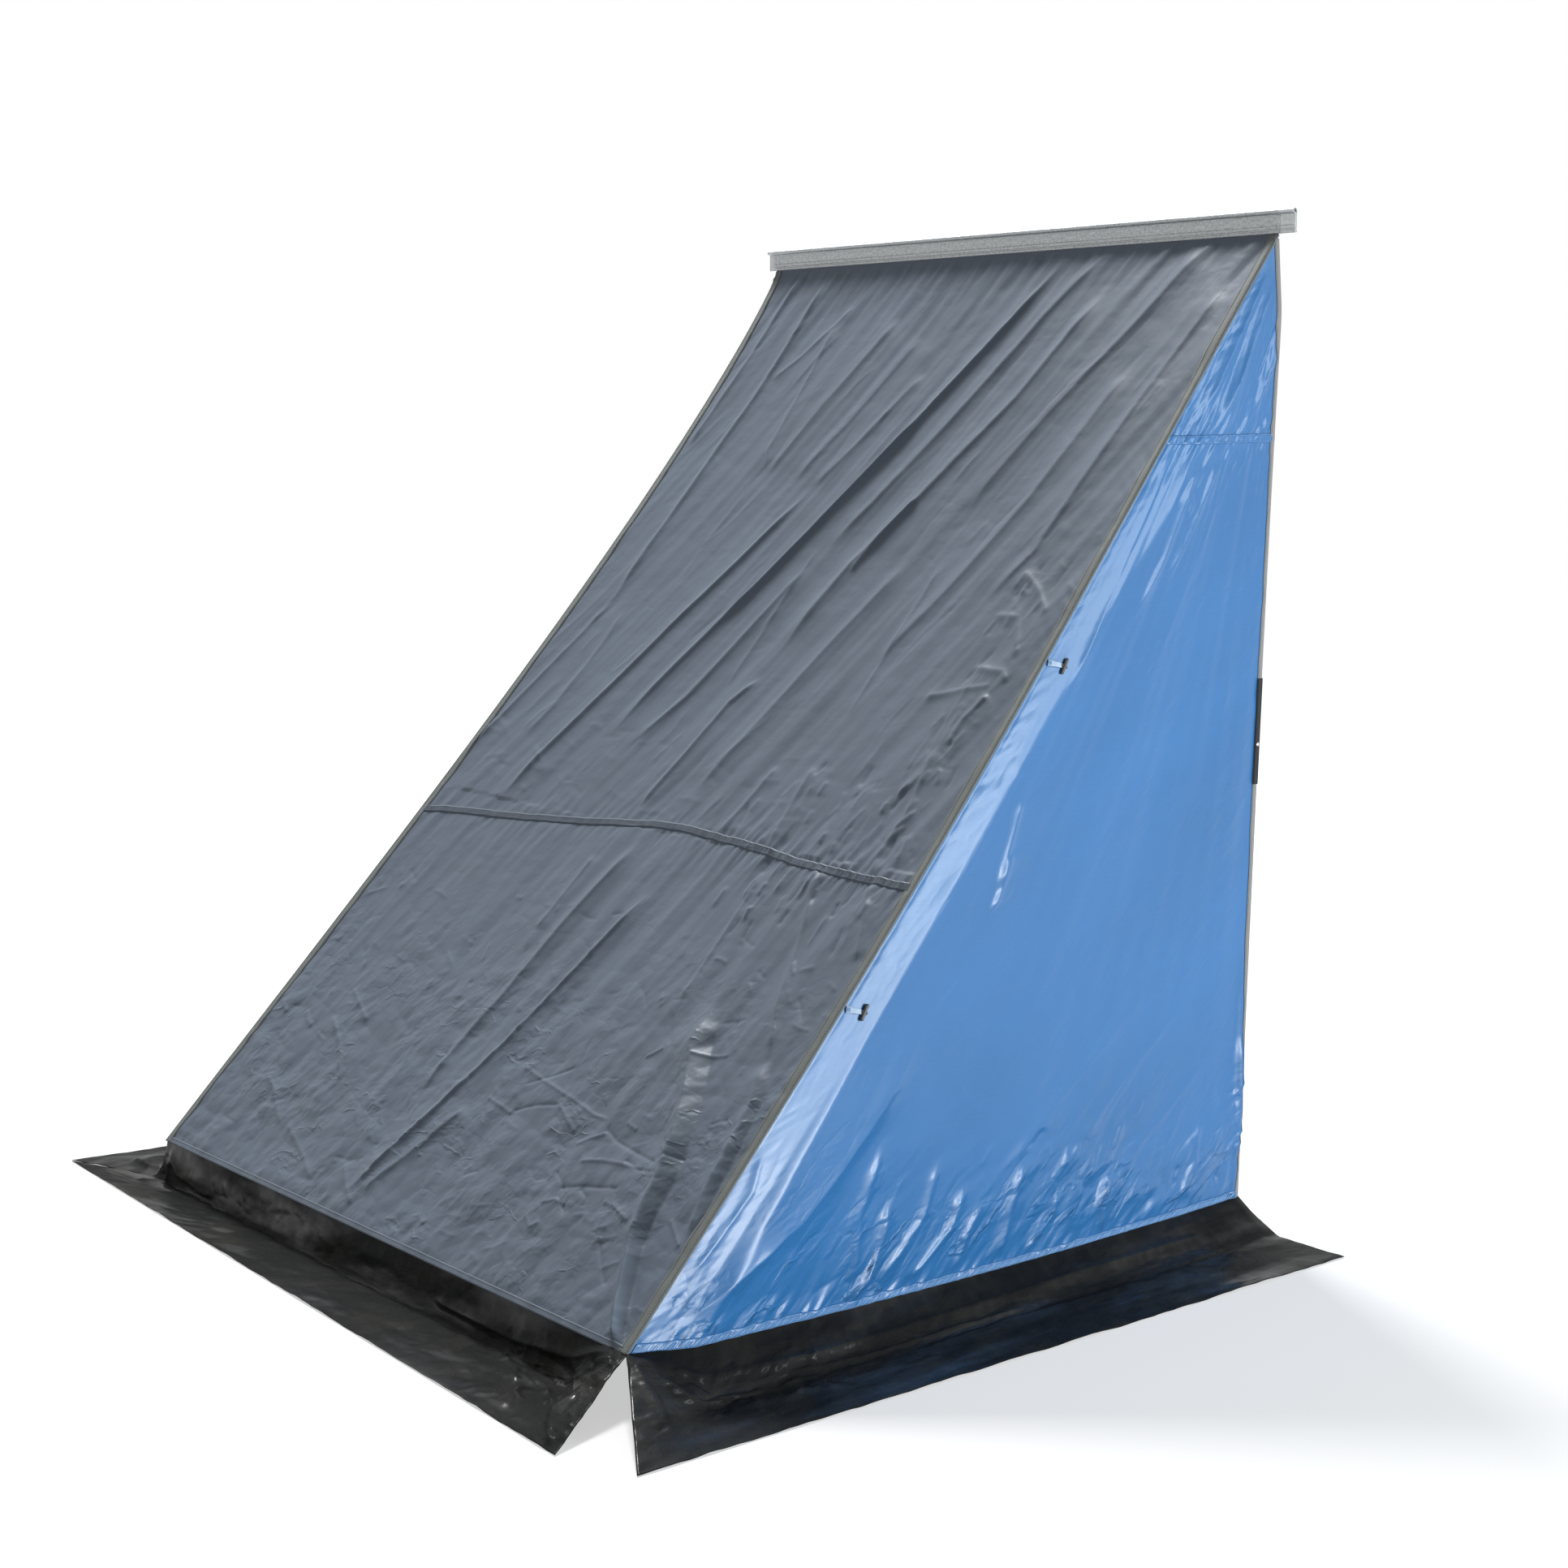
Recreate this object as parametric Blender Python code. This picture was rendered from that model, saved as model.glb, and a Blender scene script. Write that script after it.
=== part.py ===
"""Caravan rear tent: a lean-to of sewn panels on a rail, two telescopic corner poles, skirts and toggles.

The tent is laid out from the caravan's wall: x runs along the wall, -y away from it, z up from the ground.
Everything hangs on one empty at the wall's foot, which puts the footprint's middle at the origin.
"""
import math

import bmesh
import bpy
from mathutils import Matrix, Vector

# Overall sizes, in metres, from the wall plane and the ground.
KEDER_HEIGHT = 2.000
ROOF_HALF_WIDTH = 0.797
BAND_HALF_WIDTH = 0.825
BAND_DROP = 0.037
CORNER_HALF_WIDTH = 0.876
CORNER_DEPTH = 1.576
CORNER_HEIGHT = 0.087
REAR_HALF_WIDTH = 0.741
REAR_HEIGHT = 0.058

# Cloth and tape thicknesses, and the gap that neighbours keep.
CLOTH = 0.0015
SKIRT_CLOTH = 0.0020
TAPE_CLOTH = 0.0018
BINDING_CLOTH = 0.0026
GAP = 0.0003
SEAM_GAP = 0.0005

# Keder band: a tape folded over the round cord, with the roof's top margin sewn between its flaps.
BAND_TAPE = 0.0009
CORD_RADIUS = 0.00375
ROOF_MARGIN = 0.022
MARGIN_BEND = 0.0012

# Roof: where the cross seam lies down the slope, and how far the cloth sags.
CROSS_SEAM = 0.612
ROOF_SAG = 0.030
RIGHT_EDGE_SAG = 0.034
RIGHT_EDGE_SKEW = 1.16
LEFT_EDGE_SAG = 0.057
LEFT_EDGE_SKEW = 0.66
SEAM_TAPE_WIDTH = 0.022
TAPE_START = 0.0020

# Side panels: the line they swing about, the gore's seam, the pole's ridge and the bound rear edge.
RIGHT_SWING_SET = 0.024
LEFT_SWING_SET = 0.032
SWING_OUT = 0.0015
GORE_SEAM = 0.203
RIDGE_SET = 0.095
RIDGE_OUT_TOP = 0.014
RIDGE_OUT_FOOT = 0.028
RIDGE_REACH = 0.35
APEX_START = 0.018
BINDING_WIDTH = 0.012
WALL_CLEARANCE = 0.002

# Fixing tabs on the rear edge.
TAB_LOW = 0.900
TAB_HIGH = 1.109
TAB_WIDTH = 0.014
TAB_CLOTH = 0.0020
RIVET_HEIGHT = 0.979
RIVET_HEAD_RADIUS = 0.0040
RIVET_HEAD_RISE = 0.0014
RIVET_SHANK_RADIUS = 0.0020

# Toggles: places along the seam, and the bar in its webbing loop.
TOGGLE_PLACES = {"upper": 0.410, "lower": 0.716}
LOOP_LENGTH = 0.038
LOOP_WIDTH = 0.010
LOOP_TAPE = 0.0008
TOGGLE_LENGTH = 0.032
TOGGLE_RADIUS = 0.0026
TOGGLE_FLANGE = 0.0036
FLANGE_THICKNESS = 0.0016
LOOP_DROP = 0.25

# Mud skirts on the ground.
SKIRT_REACH = 1.145
SKIRT_REAR_REACH = 1.026
SIDE_SKIRT_FRONT = 1.738
FRONT_SKIRT_CORNER = 0.995
FRONT_REACH = 1.790
FRONT_SKIRT_LEFT = 1.676
LEFT_CORNER_GAP = 0.030
SKIRT_START = 0.020
FRONT_CREASE_RUN = 0.010
SIDE_CREASE_RUN = 0.085

# Corner poles.
LOWER_TUBE_RADIUS = 0.0110
LOWER_TUBE_WALL = 0.0010
LOWER_TUBE_LENGTH = 1.250
UPPER_TUBE_RADIUS = 0.0097
UPPER_TUBE_WALL = 0.0010
TUBE_OVERLAP = 0.280
CLAMP_RADIUS = 0.0143
CLAMP_BELOW = 0.025
CLAMP_ABOVE = 0.020
BOSS_RADIUS = 0.0065
BOSS_REACH = 0.022
SCREW_RADIUS = 0.0030
KNOB_RADIUS = 0.0105
KNOB_THICKNESS = 0.008
KNOB_LOBES = 6
FOOT_RADIUS = 0.0150
FOOT_LENGTH = 0.048
FOOT_SOLE = 0.020
CAP_LENGTH = 0.030
CAP_END = 0.004
POLE_OFFSET = 0.003

# Main folds as (start, end, height, half width): across places at a panel's top and bottom, in metres.
UPPER_ROOF_FOLDS = (
    (-0.57, -0.84, -0.009, 0.055),
    (-0.40, -0.72, 0.007, 0.060),
    (0.08, -0.60, -0.010, 0.055),
    (0.23, -0.49, -0.012, 0.055),
    (0.34, -0.36, 0.010, 0.060),
    (0.50, -0.13, -0.012, 0.058),
    (0.60, 0.02, 0.009, 0.060),
    (0.70, 0.15, -0.009, 0.055),
    (0.73, 0.52, -0.008, 0.055),
)
LOWER_ROOF_FOLDS = (
    (-0.06, -0.17, -0.009, 0.055),
    (0.04, -0.16, 0.007, 0.060),
    (0.17, -0.15, -0.010, 0.055),
    (0.47, 0.84, -0.011, 0.058),
    (0.58, 0.86, 0.008, 0.058),
    (-0.55, -0.45, -0.005, 0.080),
)
SIDE_FOLDS = (
    (0.10, 0.40, 0.006, 0.060),
    (0.17, 0.75, -0.007, 0.080),
    (0.24, 1.10, 0.008, 0.090),
    (0.29, 1.42, -0.005, 0.045),
)

# Mesh counts.
RING_SIDES = 16
ARC_STEPS = 10

RIGHT = 1
LEFT = -1
SIDES = {"right": RIGHT, "left": LEFT}

# Heights and places that follow from the sizes above.
ROOF_TOP = KEDER_HEIGHT - BAND_DROP
WALL_Y = FRONT_REACH / 2


def clear_scene():
    """Removes whatever the file starts with."""
    for old in list(bpy.data.objects):
        bpy.data.objects.remove(old, do_unlink=True)


def material(name, color, roughness, metallic=0.0):
    """A Principled surface with one colour."""
    surface = bpy.data.materials.new(name)
    surface.use_nodes = True
    shader = surface.node_tree.nodes["Principled BSDF"]
    shader.inputs["Base Color"].default_value = (*color, 1.0)
    shader.inputs["Roughness"].default_value = roughness
    shader.inputs["Metallic"].default_value = metallic
    return surface


FINISHES = {
    "silver_tape": ((0.55, 0.57, 0.58), 0.35, 0.6),
    "cord_core": ((0.75, 0.75, 0.73), 0.7, 0.0),
    "roof_cloth": ((0.105, 0.120, 0.140), 0.55, 0.0),
    "seam_tape": ((0.115, 0.130, 0.130), 0.65, 0.0),
    "side_cloth": ((0.085, 0.270, 0.610), 0.35, 0.0),
    "edge_tape": ((0.250, 0.240, 0.240), 0.7, 0.0),
    "black_tab": ((0.010, 0.012, 0.015), 0.5, 0.0),
    "bright_metal": ((0.75, 0.75, 0.74), 0.25, 1.0),
    "webbing": ((0.420, 0.520, 0.640), 0.6, 0.0),
    "black_plastic": ((0.020, 0.018, 0.016), 0.35, 0.0),
    "skirt_sheet": ((0.012, 0.013, 0.015), 0.4, 0.0),
    "steel_tube": ((0.55, 0.56, 0.57), 0.3, 1.0),
    "pole_rubber": ((0.015, 0.015, 0.015), 0.8, 0.0),
}


def empty(name, place, parent=None):
    """An empty that carries the pieces of one body."""
    holder = bpy.data.objects.new(name, None)
    holder.empty_display_size = 0.05
    holder.location = place
    holder.parent = parent
    bpy.context.collection.objects.link(holder)
    return holder


def new_object(name, mesh_data, finish, parent, place=(0, 0, 0), turn=None, smooth=True):
    """Links a mesh as one named piece, with its own material."""
    mesh = bpy.data.meshes.new(name)
    bmesh.ops.recalc_face_normals(mesh_data, faces=mesh_data.faces)
    if mesh_data.calc_volume(signed=True) < 0:
        bmesh.ops.reverse_faces(mesh_data, faces=mesh_data.faces)
    mesh_data.to_mesh(mesh)
    mesh_data.free()
    if smooth:
        mesh.shade_smooth()
        mesh.set_sharp_from_angle(angle=math.radians(40))
    color, roughness, metallic = FINISHES[finish]
    mesh.materials.append(material(name + "_finish", color, roughness, metallic))
    piece = bpy.data.objects.new(name, mesh)
    piece.parent = parent
    piece.location = place
    if turn is not None:
        piece.rotation_euler = turn.to_euler()
    bpy.context.collection.objects.link(piece)
    return piece


def sheet_mesh(surface, across, along, thickness, origin=Vector()):
    """A closed sheet: the surface's grid, thickened by half to each side along its normal."""
    grid = [[surface(a, b) for b in along] for a in across]
    last_row, last_column = len(across) - 1, len(along) - 1
    data = bmesh.new()
    layers = ([], [])
    for i, row in enumerate(grid):
        fronts, backs = [], []
        for j, point in enumerate(row):
            run = grid[min(i + 1, last_row)][j] - grid[max(i - 1, 0)][j]
            rise = grid[i][min(j + 1, last_column)] - grid[i][max(j - 1, 0)]
            normal = run.cross(rise).normalized()
            fronts.append(data.verts.new(point + normal * thickness / 2 - origin))
            backs.append(data.verts.new(point - normal * thickness / 2 - origin))
        layers[0].append(fronts)
        layers[1].append(backs)
    for layer in layers:
        for i in range(last_row):
            for j in range(last_column):
                data.faces.new((layer[i][j], layer[i + 1][j], layer[i + 1][j + 1], layer[i][j + 1]))
    front, back = layers
    rim = [(i, 0) for i in range(last_row)]
    rim += [(last_row, j) for j in range(last_column)]
    rim += [(i, last_column) for i in range(last_row, 0, -1)]
    rim += [(0, j) for j in range(last_column, 0, -1)]
    for (i, j), (k, m) in zip(rim, rim[1:] + rim[:1]):
        data.faces.new((front[i][j], front[k][m], back[k][m], back[i][j]))
    bmesh.ops.triangulate(data, faces=data.faces)
    return data


def steps(start, end, count):
    """Evenly spaced values from start to end."""
    return [start + (end - start) * k / count for k in range(count + 1)]


def ribbon_mesh(path, thickness, along, across, width):
    """A closed tape that follows a flat path, with its thickness to both sides and its width across."""
    last = len(path) - 1
    data = bmesh.new()
    rings = []
    for k, (x, y) in enumerate(path):
        ahead = path[min(k + 1, last)]
        behind = path[max(k - 1, 0)]
        run = Vector((ahead[0] - behind[0], ahead[1] - behind[1])).normalized()
        ring = []
        for side, end in ((1, -1), (1, 1), (-1, 1), (-1, -1)):
            u = x - run.y * side * thickness / 2
            v = y + run.x * side * thickness / 2
            ring.append(data.verts.new(along[0] * u + along[1] * v + across * end * width / 2))
        rings.append(ring)
    for ring, following in zip(rings, rings[1:]):
        for a in range(4):
            b = (a + 1) % 4
            data.faces.new((ring[a], ring[b], following[b], following[a]))
    data.faces.new(rings[0])
    data.faces.new(rings[-1])
    return data


def turned_mesh(profile, sides=RING_SIDES, lobes=None):
    """Rings about local z through (radius, height) points; a closed loop unless it ends on the axis."""
    data = bmesh.new()
    rings = []
    for radius, height in profile:
        if radius == 0:
            rings.append([data.verts.new((0, 0, height))])
            continue
        ring = []
        for k in range(sides):
            angle = 2 * math.pi * k / sides
            reach = radius * (1 + lobes(radius, angle)) if lobes else radius
            ring.append(data.verts.new((reach * math.cos(angle), reach * math.sin(angle), height)))
        rings.append(ring)
    pairs = list(zip(rings, rings[1:]))
    if profile[0][0] > 0:
        pairs.append((rings[-1], rings[0]))
    for lower, upper in pairs:
        for k in range(sides):
            m = (k + 1) % sides
            corners = [lower[k % len(lower)], lower[m % len(lower)], upper[m % len(upper)], upper[k % len(upper)]]
            unique = list(dict.fromkeys(corners))
            if len(unique) > 2:
                data.faces.new(unique)
    return data


def along_axis(way, side_way):
    """The rotation that turns local z along a way, and local x towards a side."""
    z_axis = way.normalized()
    x_axis = (side_way - z_axis * side_way.dot(z_axis)).normalized()
    y_axis = z_axis.cross(x_axis)
    return Matrix((x_axis, y_axis, z_axis)).transposed()


class SideFrame:
    """Points and directions of one side of the tent, worked out from the driving sizes."""

    def __init__(self, hand):
        self.hand = hand
        self.apex = Vector((hand * ROOF_HALF_WIDTH, -WALL_CLEARANCE, ROOF_TOP))
        self.corner = Vector((hand * CORNER_HALF_WIDTH, -CORNER_DEPTH, CORNER_HEIGHT))
        self.rear_foot = Vector((hand * REAR_HALF_WIDTH, -WALL_CLEARANCE, REAR_HEIGHT))
        chord = self.corner - self.apex
        self.length = chord.length
        self.down = chord.normalized()
        outward = chord.cross(self.rear_foot - self.apex).normalized()
        self.out = outward if outward.x * hand > 0 else -outward
        back = self.out.cross(self.down).normalized()
        self.back = back if back.y > 0 else -back
        self.sag = RIGHT_EDGE_SAG if hand == RIGHT else LEFT_EDGE_SAG
        self.skew = RIGHT_EDGE_SKEW if hand == RIGHT else LEFT_EDGE_SKEW
        swing_set = RIGHT_SWING_SET if hand == RIGHT else LEFT_SWING_SET
        self.hinge = self.apex + self.back * swing_set + self.out * SWING_OUT
        self.ridge_at_wall = RIDGE_SET / (self.rear_foot - self.apex).dot(self.back)

    def edge_sag(self, t):
        return self.sag * math.sin(math.pi * min(max(t, 0.0), 1.0) ** self.skew)

    def seam(self, t):
        """The roof's edge at a share t of the way from the rail to the front corner."""
        return self.apex.lerp(self.corner, t) + self.back * self.edge_sag(t)

    def ridge_out(self, t):
        return RIDGE_OUT_TOP + (RIDGE_OUT_FOOT - RIDGE_OUT_TOP) * t

    def ridge_slope(self, t):
        return self.ridge_out(t) / (RIDGE_SET - self.edge_sag(t))

    def swell(self, point):
        """How far the pole holds the cloth out of the side's flat plane."""
        offset = point - self.apex
        t = offset.dot(self.down) / self.length
        behind = offset.dot(self.back)
        sag = self.edge_sag(t)
        ridge = self.ridge_out(t)
        if behind < RIDGE_SET:
            return ridge * max(behind - sag, 0.0) / (RIDGE_SET - sag)
        return ridge * math.exp((RIDGE_SET - behind) / RIDGE_REACH)

    def row_ends(self, t):
        """The seam end and the wall end of a level row of the side panel."""
        start = self.seam(t) + self.back * (TAPE_CLOTH / 2 + SEAM_GAP)
        return start, self.apex.lerp(self.rear_foot, t)

    def side_point(self, t, reach):
        """A point of the side cloth, a distance from the seam towards the wall on row t."""
        start, end = self.row_ends(t)
        flat = start + (end - start).normalized() * reach
        return flat + self.out * (self.swell(flat) + self.fold(t, reach))

    def fold(self, t, reach):
        if t <= GORE_SEAM:
            return 0.0
        share = (t - GORE_SEAM) / (1 - GORE_SEAM)
        rise = 0.0
        for first, last, height, width in SIDE_FOLDS:
            middle = first + (last - first) * share
            rise += height * math.exp(-((reach - middle) / width) ** 2)
        start, end = self.row_ends(t)
        room = (end - start).length
        clear_of_pole = min(max((reach * self.back.y - RIDGE_SET * 1.5) / 0.1, 0.0), 1.0)
        return rise * math.sin(math.pi * share) * clear_of_pole * min((room - reach) / 0.05, 1.0)

    def cloth_width(self, t):
        start, end = self.row_ends(t)
        return (end - start).length - BINDING_WIDTH - SEAM_GAP

    def cloth_reaches(self, t, share):
        """Reach for a share across, with a column on the pole's ridge."""
        width = self.cloth_width(t)
        start, end = self.row_ends(t)
        slant = (end - start).normalized().dot(self.back)
        ridge = (RIDGE_SET - self.edge_sag(t)) / slant
        ridge_share = 0.25
        if ridge > width * 0.6:
            return width * share
        if share < ridge_share:
            return ridge * share / ridge_share
        return ridge + (width - ridge) * (share - ridge_share) / (1 - ridge_share)

    def hem(self, share):
        """The side panel's lower edge, from the front corner to the wall."""
        start, end = self.row_ends(1.0)
        return self.side_point(1.0, (end - start).length * share)


def roof_rise(x, share, folds):
    """Height of the main folds at a place across and a share down one roof panel."""
    rise = 0.0
    for first, last, height, width in folds:
        middle = first + (last - first) * share
        rise += height * math.exp(-((x - middle) / width) ** 2)
    return rise


def roof_point(sides, across, t):
    """The roof's cloth between the two seam tapes; across runs from -1 at the left to 1 at the right."""
    inset = SEAM_TAPE_WIDTH + SEAM_GAP
    left = sides[LEFT].seam(t) + Vector((inset, 0, 0))
    right = sides[RIGHT].seam(t) - Vector((inset, 0, 0))
    flat = left.lerp(right, (across + 1) / 2)
    slope = sides[RIGHT].down
    normal = Vector((0, slope.z, -slope.y)).normalized()
    upward = normal if normal.z > 0 else -normal
    sag = ROOF_SAG * math.sin(math.pi * t) * (1 - across * across)
    if t < CROSS_SEAM:
        share = t / CROSS_SEAM
        rise = roof_rise(flat.x, share, UPPER_ROOF_FOLDS) * min(share / 0.04, 1.0) * min((1 - share) / 0.1, 1.0)
    else:
        share = (t - CROSS_SEAM) / (1 - CROSS_SEAM)
        rise = roof_rise(flat.x, share, LOWER_ROOF_FOLDS) * math.sin(math.pi * share)
    fade = min((1 - abs(across)) / 0.06, 1.0)
    return flat + upward * (rise * fade - sag)


def build_keder(holder):
    """The folded band and the cord in its top."""
    turn_radius = CORD_RADIUS + GAP + BAND_TAPE / 2
    back_y = -BAND_TAPE / 2
    front_y = back_y - BAND_TAPE - CLOTH - 2 * GAP
    centre_y = back_y - turn_radius
    join = math.acos((front_y - centre_y) / turn_radius)
    centre_z = KEDER_HEIGHT + turn_radius
    path = [(back_y, ROOF_TOP), (back_y, ROOF_TOP + ROOF_MARGIN), (back_y, centre_z)]
    turn = 2 * math.pi - join
    for k in range(1, 2 * ARC_STEPS + 1):
        angle = turn * k / (2 * ARC_STEPS)
        path.append((centre_y + turn_radius * math.cos(angle), centre_z + turn_radius * math.sin(angle)))
    path.append((front_y, ROOF_TOP + ROOF_MARGIN))
    path.append((front_y, ROOF_TOP))
    plane = (Vector((0, 1, 0)), Vector((0, 0, 1)))
    band = ribbon_mesh(path, BAND_TAPE, plane, Vector((1, 0, 0)), 2 * BAND_HALF_WIDTH)
    new_object("keder_band", band, "silver_tape", holder)
    profile = [(0, 0), (CORD_RADIUS, 0), (CORD_RADIUS, 2 * BAND_HALF_WIDTH), (0, 2 * BAND_HALF_WIDTH)]
    cord = turned_mesh(profile, RING_SIDES)
    place = (-BAND_HALF_WIDTH, centre_y, centre_z)
    new_object("keder_cord", cord, "cord_core", holder, place, along_axis(Vector((1, 0, 0)), Vector((0, 1, 0))))


def build_roof(holder, sides):
    """Two grey panels, joined at the cross seam, and a tape on each diagonal edge."""
    length = sides[RIGHT].length
    start = SEAM_GAP / length
    half_gap = SEAM_GAP / 2 / length

    def upper_point(across, t):
        if t >= start:
            return roof_point(sides, across, t)
        low = roof_point(sides, across, start)
        lift = ROOF_MARGIN * (start - t) / start
        return Vector((low.x, -BAND_TAPE - GAP - CLOTH / 2, ROOF_TOP - MARGIN_BEND + lift))

    first_rows = [0.0, start / 3, start * 0.999]
    upper_rows = first_rows + steps(start + 0.0025, CROSS_SEAM - half_gap, 18)
    columns = steps(-1, 1, 28)
    upper = sheet_mesh(upper_point, columns, upper_rows, CLOTH)
    new_object("roof_upper_panel", upper, "roof_cloth", holder)
    lower = sheet_mesh(
        lambda across, t: roof_point(sides, across, t), columns, steps(CROSS_SEAM + half_gap, 1.0, 10), CLOTH)
    new_object("roof_lower_panel", lower, "roof_cloth", holder)
    for word, hand in SIDES.items():
        side = sides[hand]
        tape = sheet_mesh(
            lambda inset, t: side.seam(t) - Vector((hand * inset, 0, 0)),
            (0.0, SEAM_TAPE_WIDTH), steps(TAPE_START, 1.0, 24), TAPE_CLOTH)
        new_object("seam_tape_" + word, tape, "seam_tape", holder)


def build_side(word, side, holder):
    """Gore, panel, rear binding, fixing tab and rivet of one side, about its hinge line."""
    origin = side.hinge
    half_gap = SEAM_GAP / 2 / (ROOF_TOP - REAR_HEIGHT)
    shares = [0, 0.08, 0.25, 0.32] + steps(0.42, 1.0, 9)
    gore = sheet_mesh(
        lambda share, t: side.side_point(t, side.cloth_reaches(t, share)),
        steps(0, 1, 8), steps(APEX_START, GORE_SEAM - half_gap, 8), CLOTH, origin)
    new_object("side_gore_" + word, gore, "side_cloth", holder)
    panel = sheet_mesh(
        lambda share, t: side.side_point(t, side.cloth_reaches(t, share)),
        shares, steps(GORE_SEAM + half_gap, 1.0, 18), CLOTH, origin)
    new_object("side_panel_" + word, panel, "side_cloth", holder)

    def bound_point(inset, t, lift=0.0):
        start, end = side.row_ends(t)
        reach = (end - start).length - inset
        return side.side_point(t, reach) + side.out * lift

    binding_rows = [APEX_START, side.ridge_at_wall / 2] + steps(side.ridge_at_wall, 1.0, 18)
    binding = sheet_mesh(
        lambda inset, t: bound_point(inset, t),
        (0.0, BINDING_WIDTH), binding_rows, BINDING_CLOTH, origin)
    new_object("edge_binding_" + word, binding, "edge_tape", holder)

    height = ROOF_TOP - REAR_HEIGHT
    tab_span = steps((ROOF_TOP - TAB_HIGH) / height, (ROOF_TOP - TAB_LOW) / height, 8)
    tab_lift = BINDING_CLOTH / 2 + GAP + TAB_CLOTH / 2
    tab_data = sheet_mesh(
        lambda inset, t: bound_point(inset, t, tab_lift), (0.0, TAB_WIDTH), tab_span, TAB_CLOTH, origin)
    tab = new_object("fixing_tab_" + word, tab_data, "black_tab", holder)
    rivet_t = (ROOF_TOP - RIVET_HEIGHT) / height
    rivet_place = bound_point(TAB_WIDTH / 2, rivet_t, tab_lift + TAB_CLOTH / 2 + GAP)
    frame = along_axis(side.out, Vector((0, 0, 1)))
    cut_hole(tab, rivet_place - origin, frame, RIVET_SHANK_RADIUS + GAP, 4 * TAB_CLOTH)
    shank = TAB_CLOTH + GAP - 0.0002
    dome = [(0, -shank), (RIVET_SHANK_RADIUS, -shank), (RIVET_SHANK_RADIUS, 0), (RIVET_HEAD_RADIUS, 0)]
    for k in range(1, 4):
        angle = math.pi / 2 * k / 4
        dome.append((RIVET_HEAD_RADIUS * math.cos(angle), RIVET_HEAD_RISE * math.sin(angle)))
    dome.append((0, RIVET_HEAD_RISE))
    new_object("tab_rivet_" + word, turned_mesh(dome, 12), "bright_metal", holder, rivet_place - origin, frame)


def cut_hole(piece, place, frame, radius, depth):
    """Cuts a round hole through a piece with a Boolean; the cutter stays as a hidden guide."""
    profile = [(0, -depth), (radius, -depth), (radius, depth), (0, depth)]
    cutter = new_object(piece.name + "_cutter", turned_mesh(profile, 12), "black_tab", piece.parent, place, frame)
    cutter.hide_render = True
    cutter.display_type = "WIRE"
    hole = piece.modifiers.new("hole", "BOOLEAN")
    hole.operation = "DIFFERENCE"
    hole.solver = "EXACT"
    hole.object = cutter


def nearest_cloth(side, point):
    """The side cloth's point on the row that passes through a point."""
    height = side.apex.z - side.rear_foot.z
    t = (side.apex.z - point.z) / height
    for _ in range(12):
        start, end = side.row_ends(t)
        row = (end - start).normalized()
        reach = (point - start).dot(row)
        t += ((start + row * reach).z - point.z) / height
    return side.side_point(t, reach)


def toggle_frame(side, t):
    """Root of a toggle's loop, the ways along the loop and out of the cloth, and how high each part must sit."""
    root = side.side_point(t, 0.006)
    row_start, row_end = side.row_ends(t)
    level = (row_end - row_start).normalized()
    tip = root + (level + Vector((0, 0, -LOOP_DROP))).normalized() * LOOP_LENGTH
    way = (nearest_cloth(side, tip) - root).normalized()
    half = (way.cross(side.out)).normalized() * LOOP_WIDTH / 2
    along_bar = nearest_cloth(side, tip + half) - nearest_cloth(side, tip - half)
    out = way.cross(along_bar)
    out = out if out.dot(side.out) > 0 else -out
    out = (out - way * way.dot(out)).normalized()
    bar_way = way.cross(out)
    bar_way = bar_way if bar_way.z > 0 else -bar_way

    def needed(reaches, half_width):
        heights = [0.0]
        for reach in reaches:
            for across in steps(-half_width, half_width, 6):
                point = root + way * reach + bar_way * across
                heights.append((nearest_cloth(side, point) - root).dot(out))
        return max(heights)

    loop_rise = needed(steps(0, LOOP_LENGTH, 6), LOOP_WIDTH / 2)
    bar_rise = needed(steps(LOOP_LENGTH - 3 * TOGGLE_FLANGE, LOOP_LENGTH, 4), TOGGLE_LENGTH / 2)
    return root + out * loop_rise, way, out, bar_way, bar_rise - loop_rise


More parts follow.
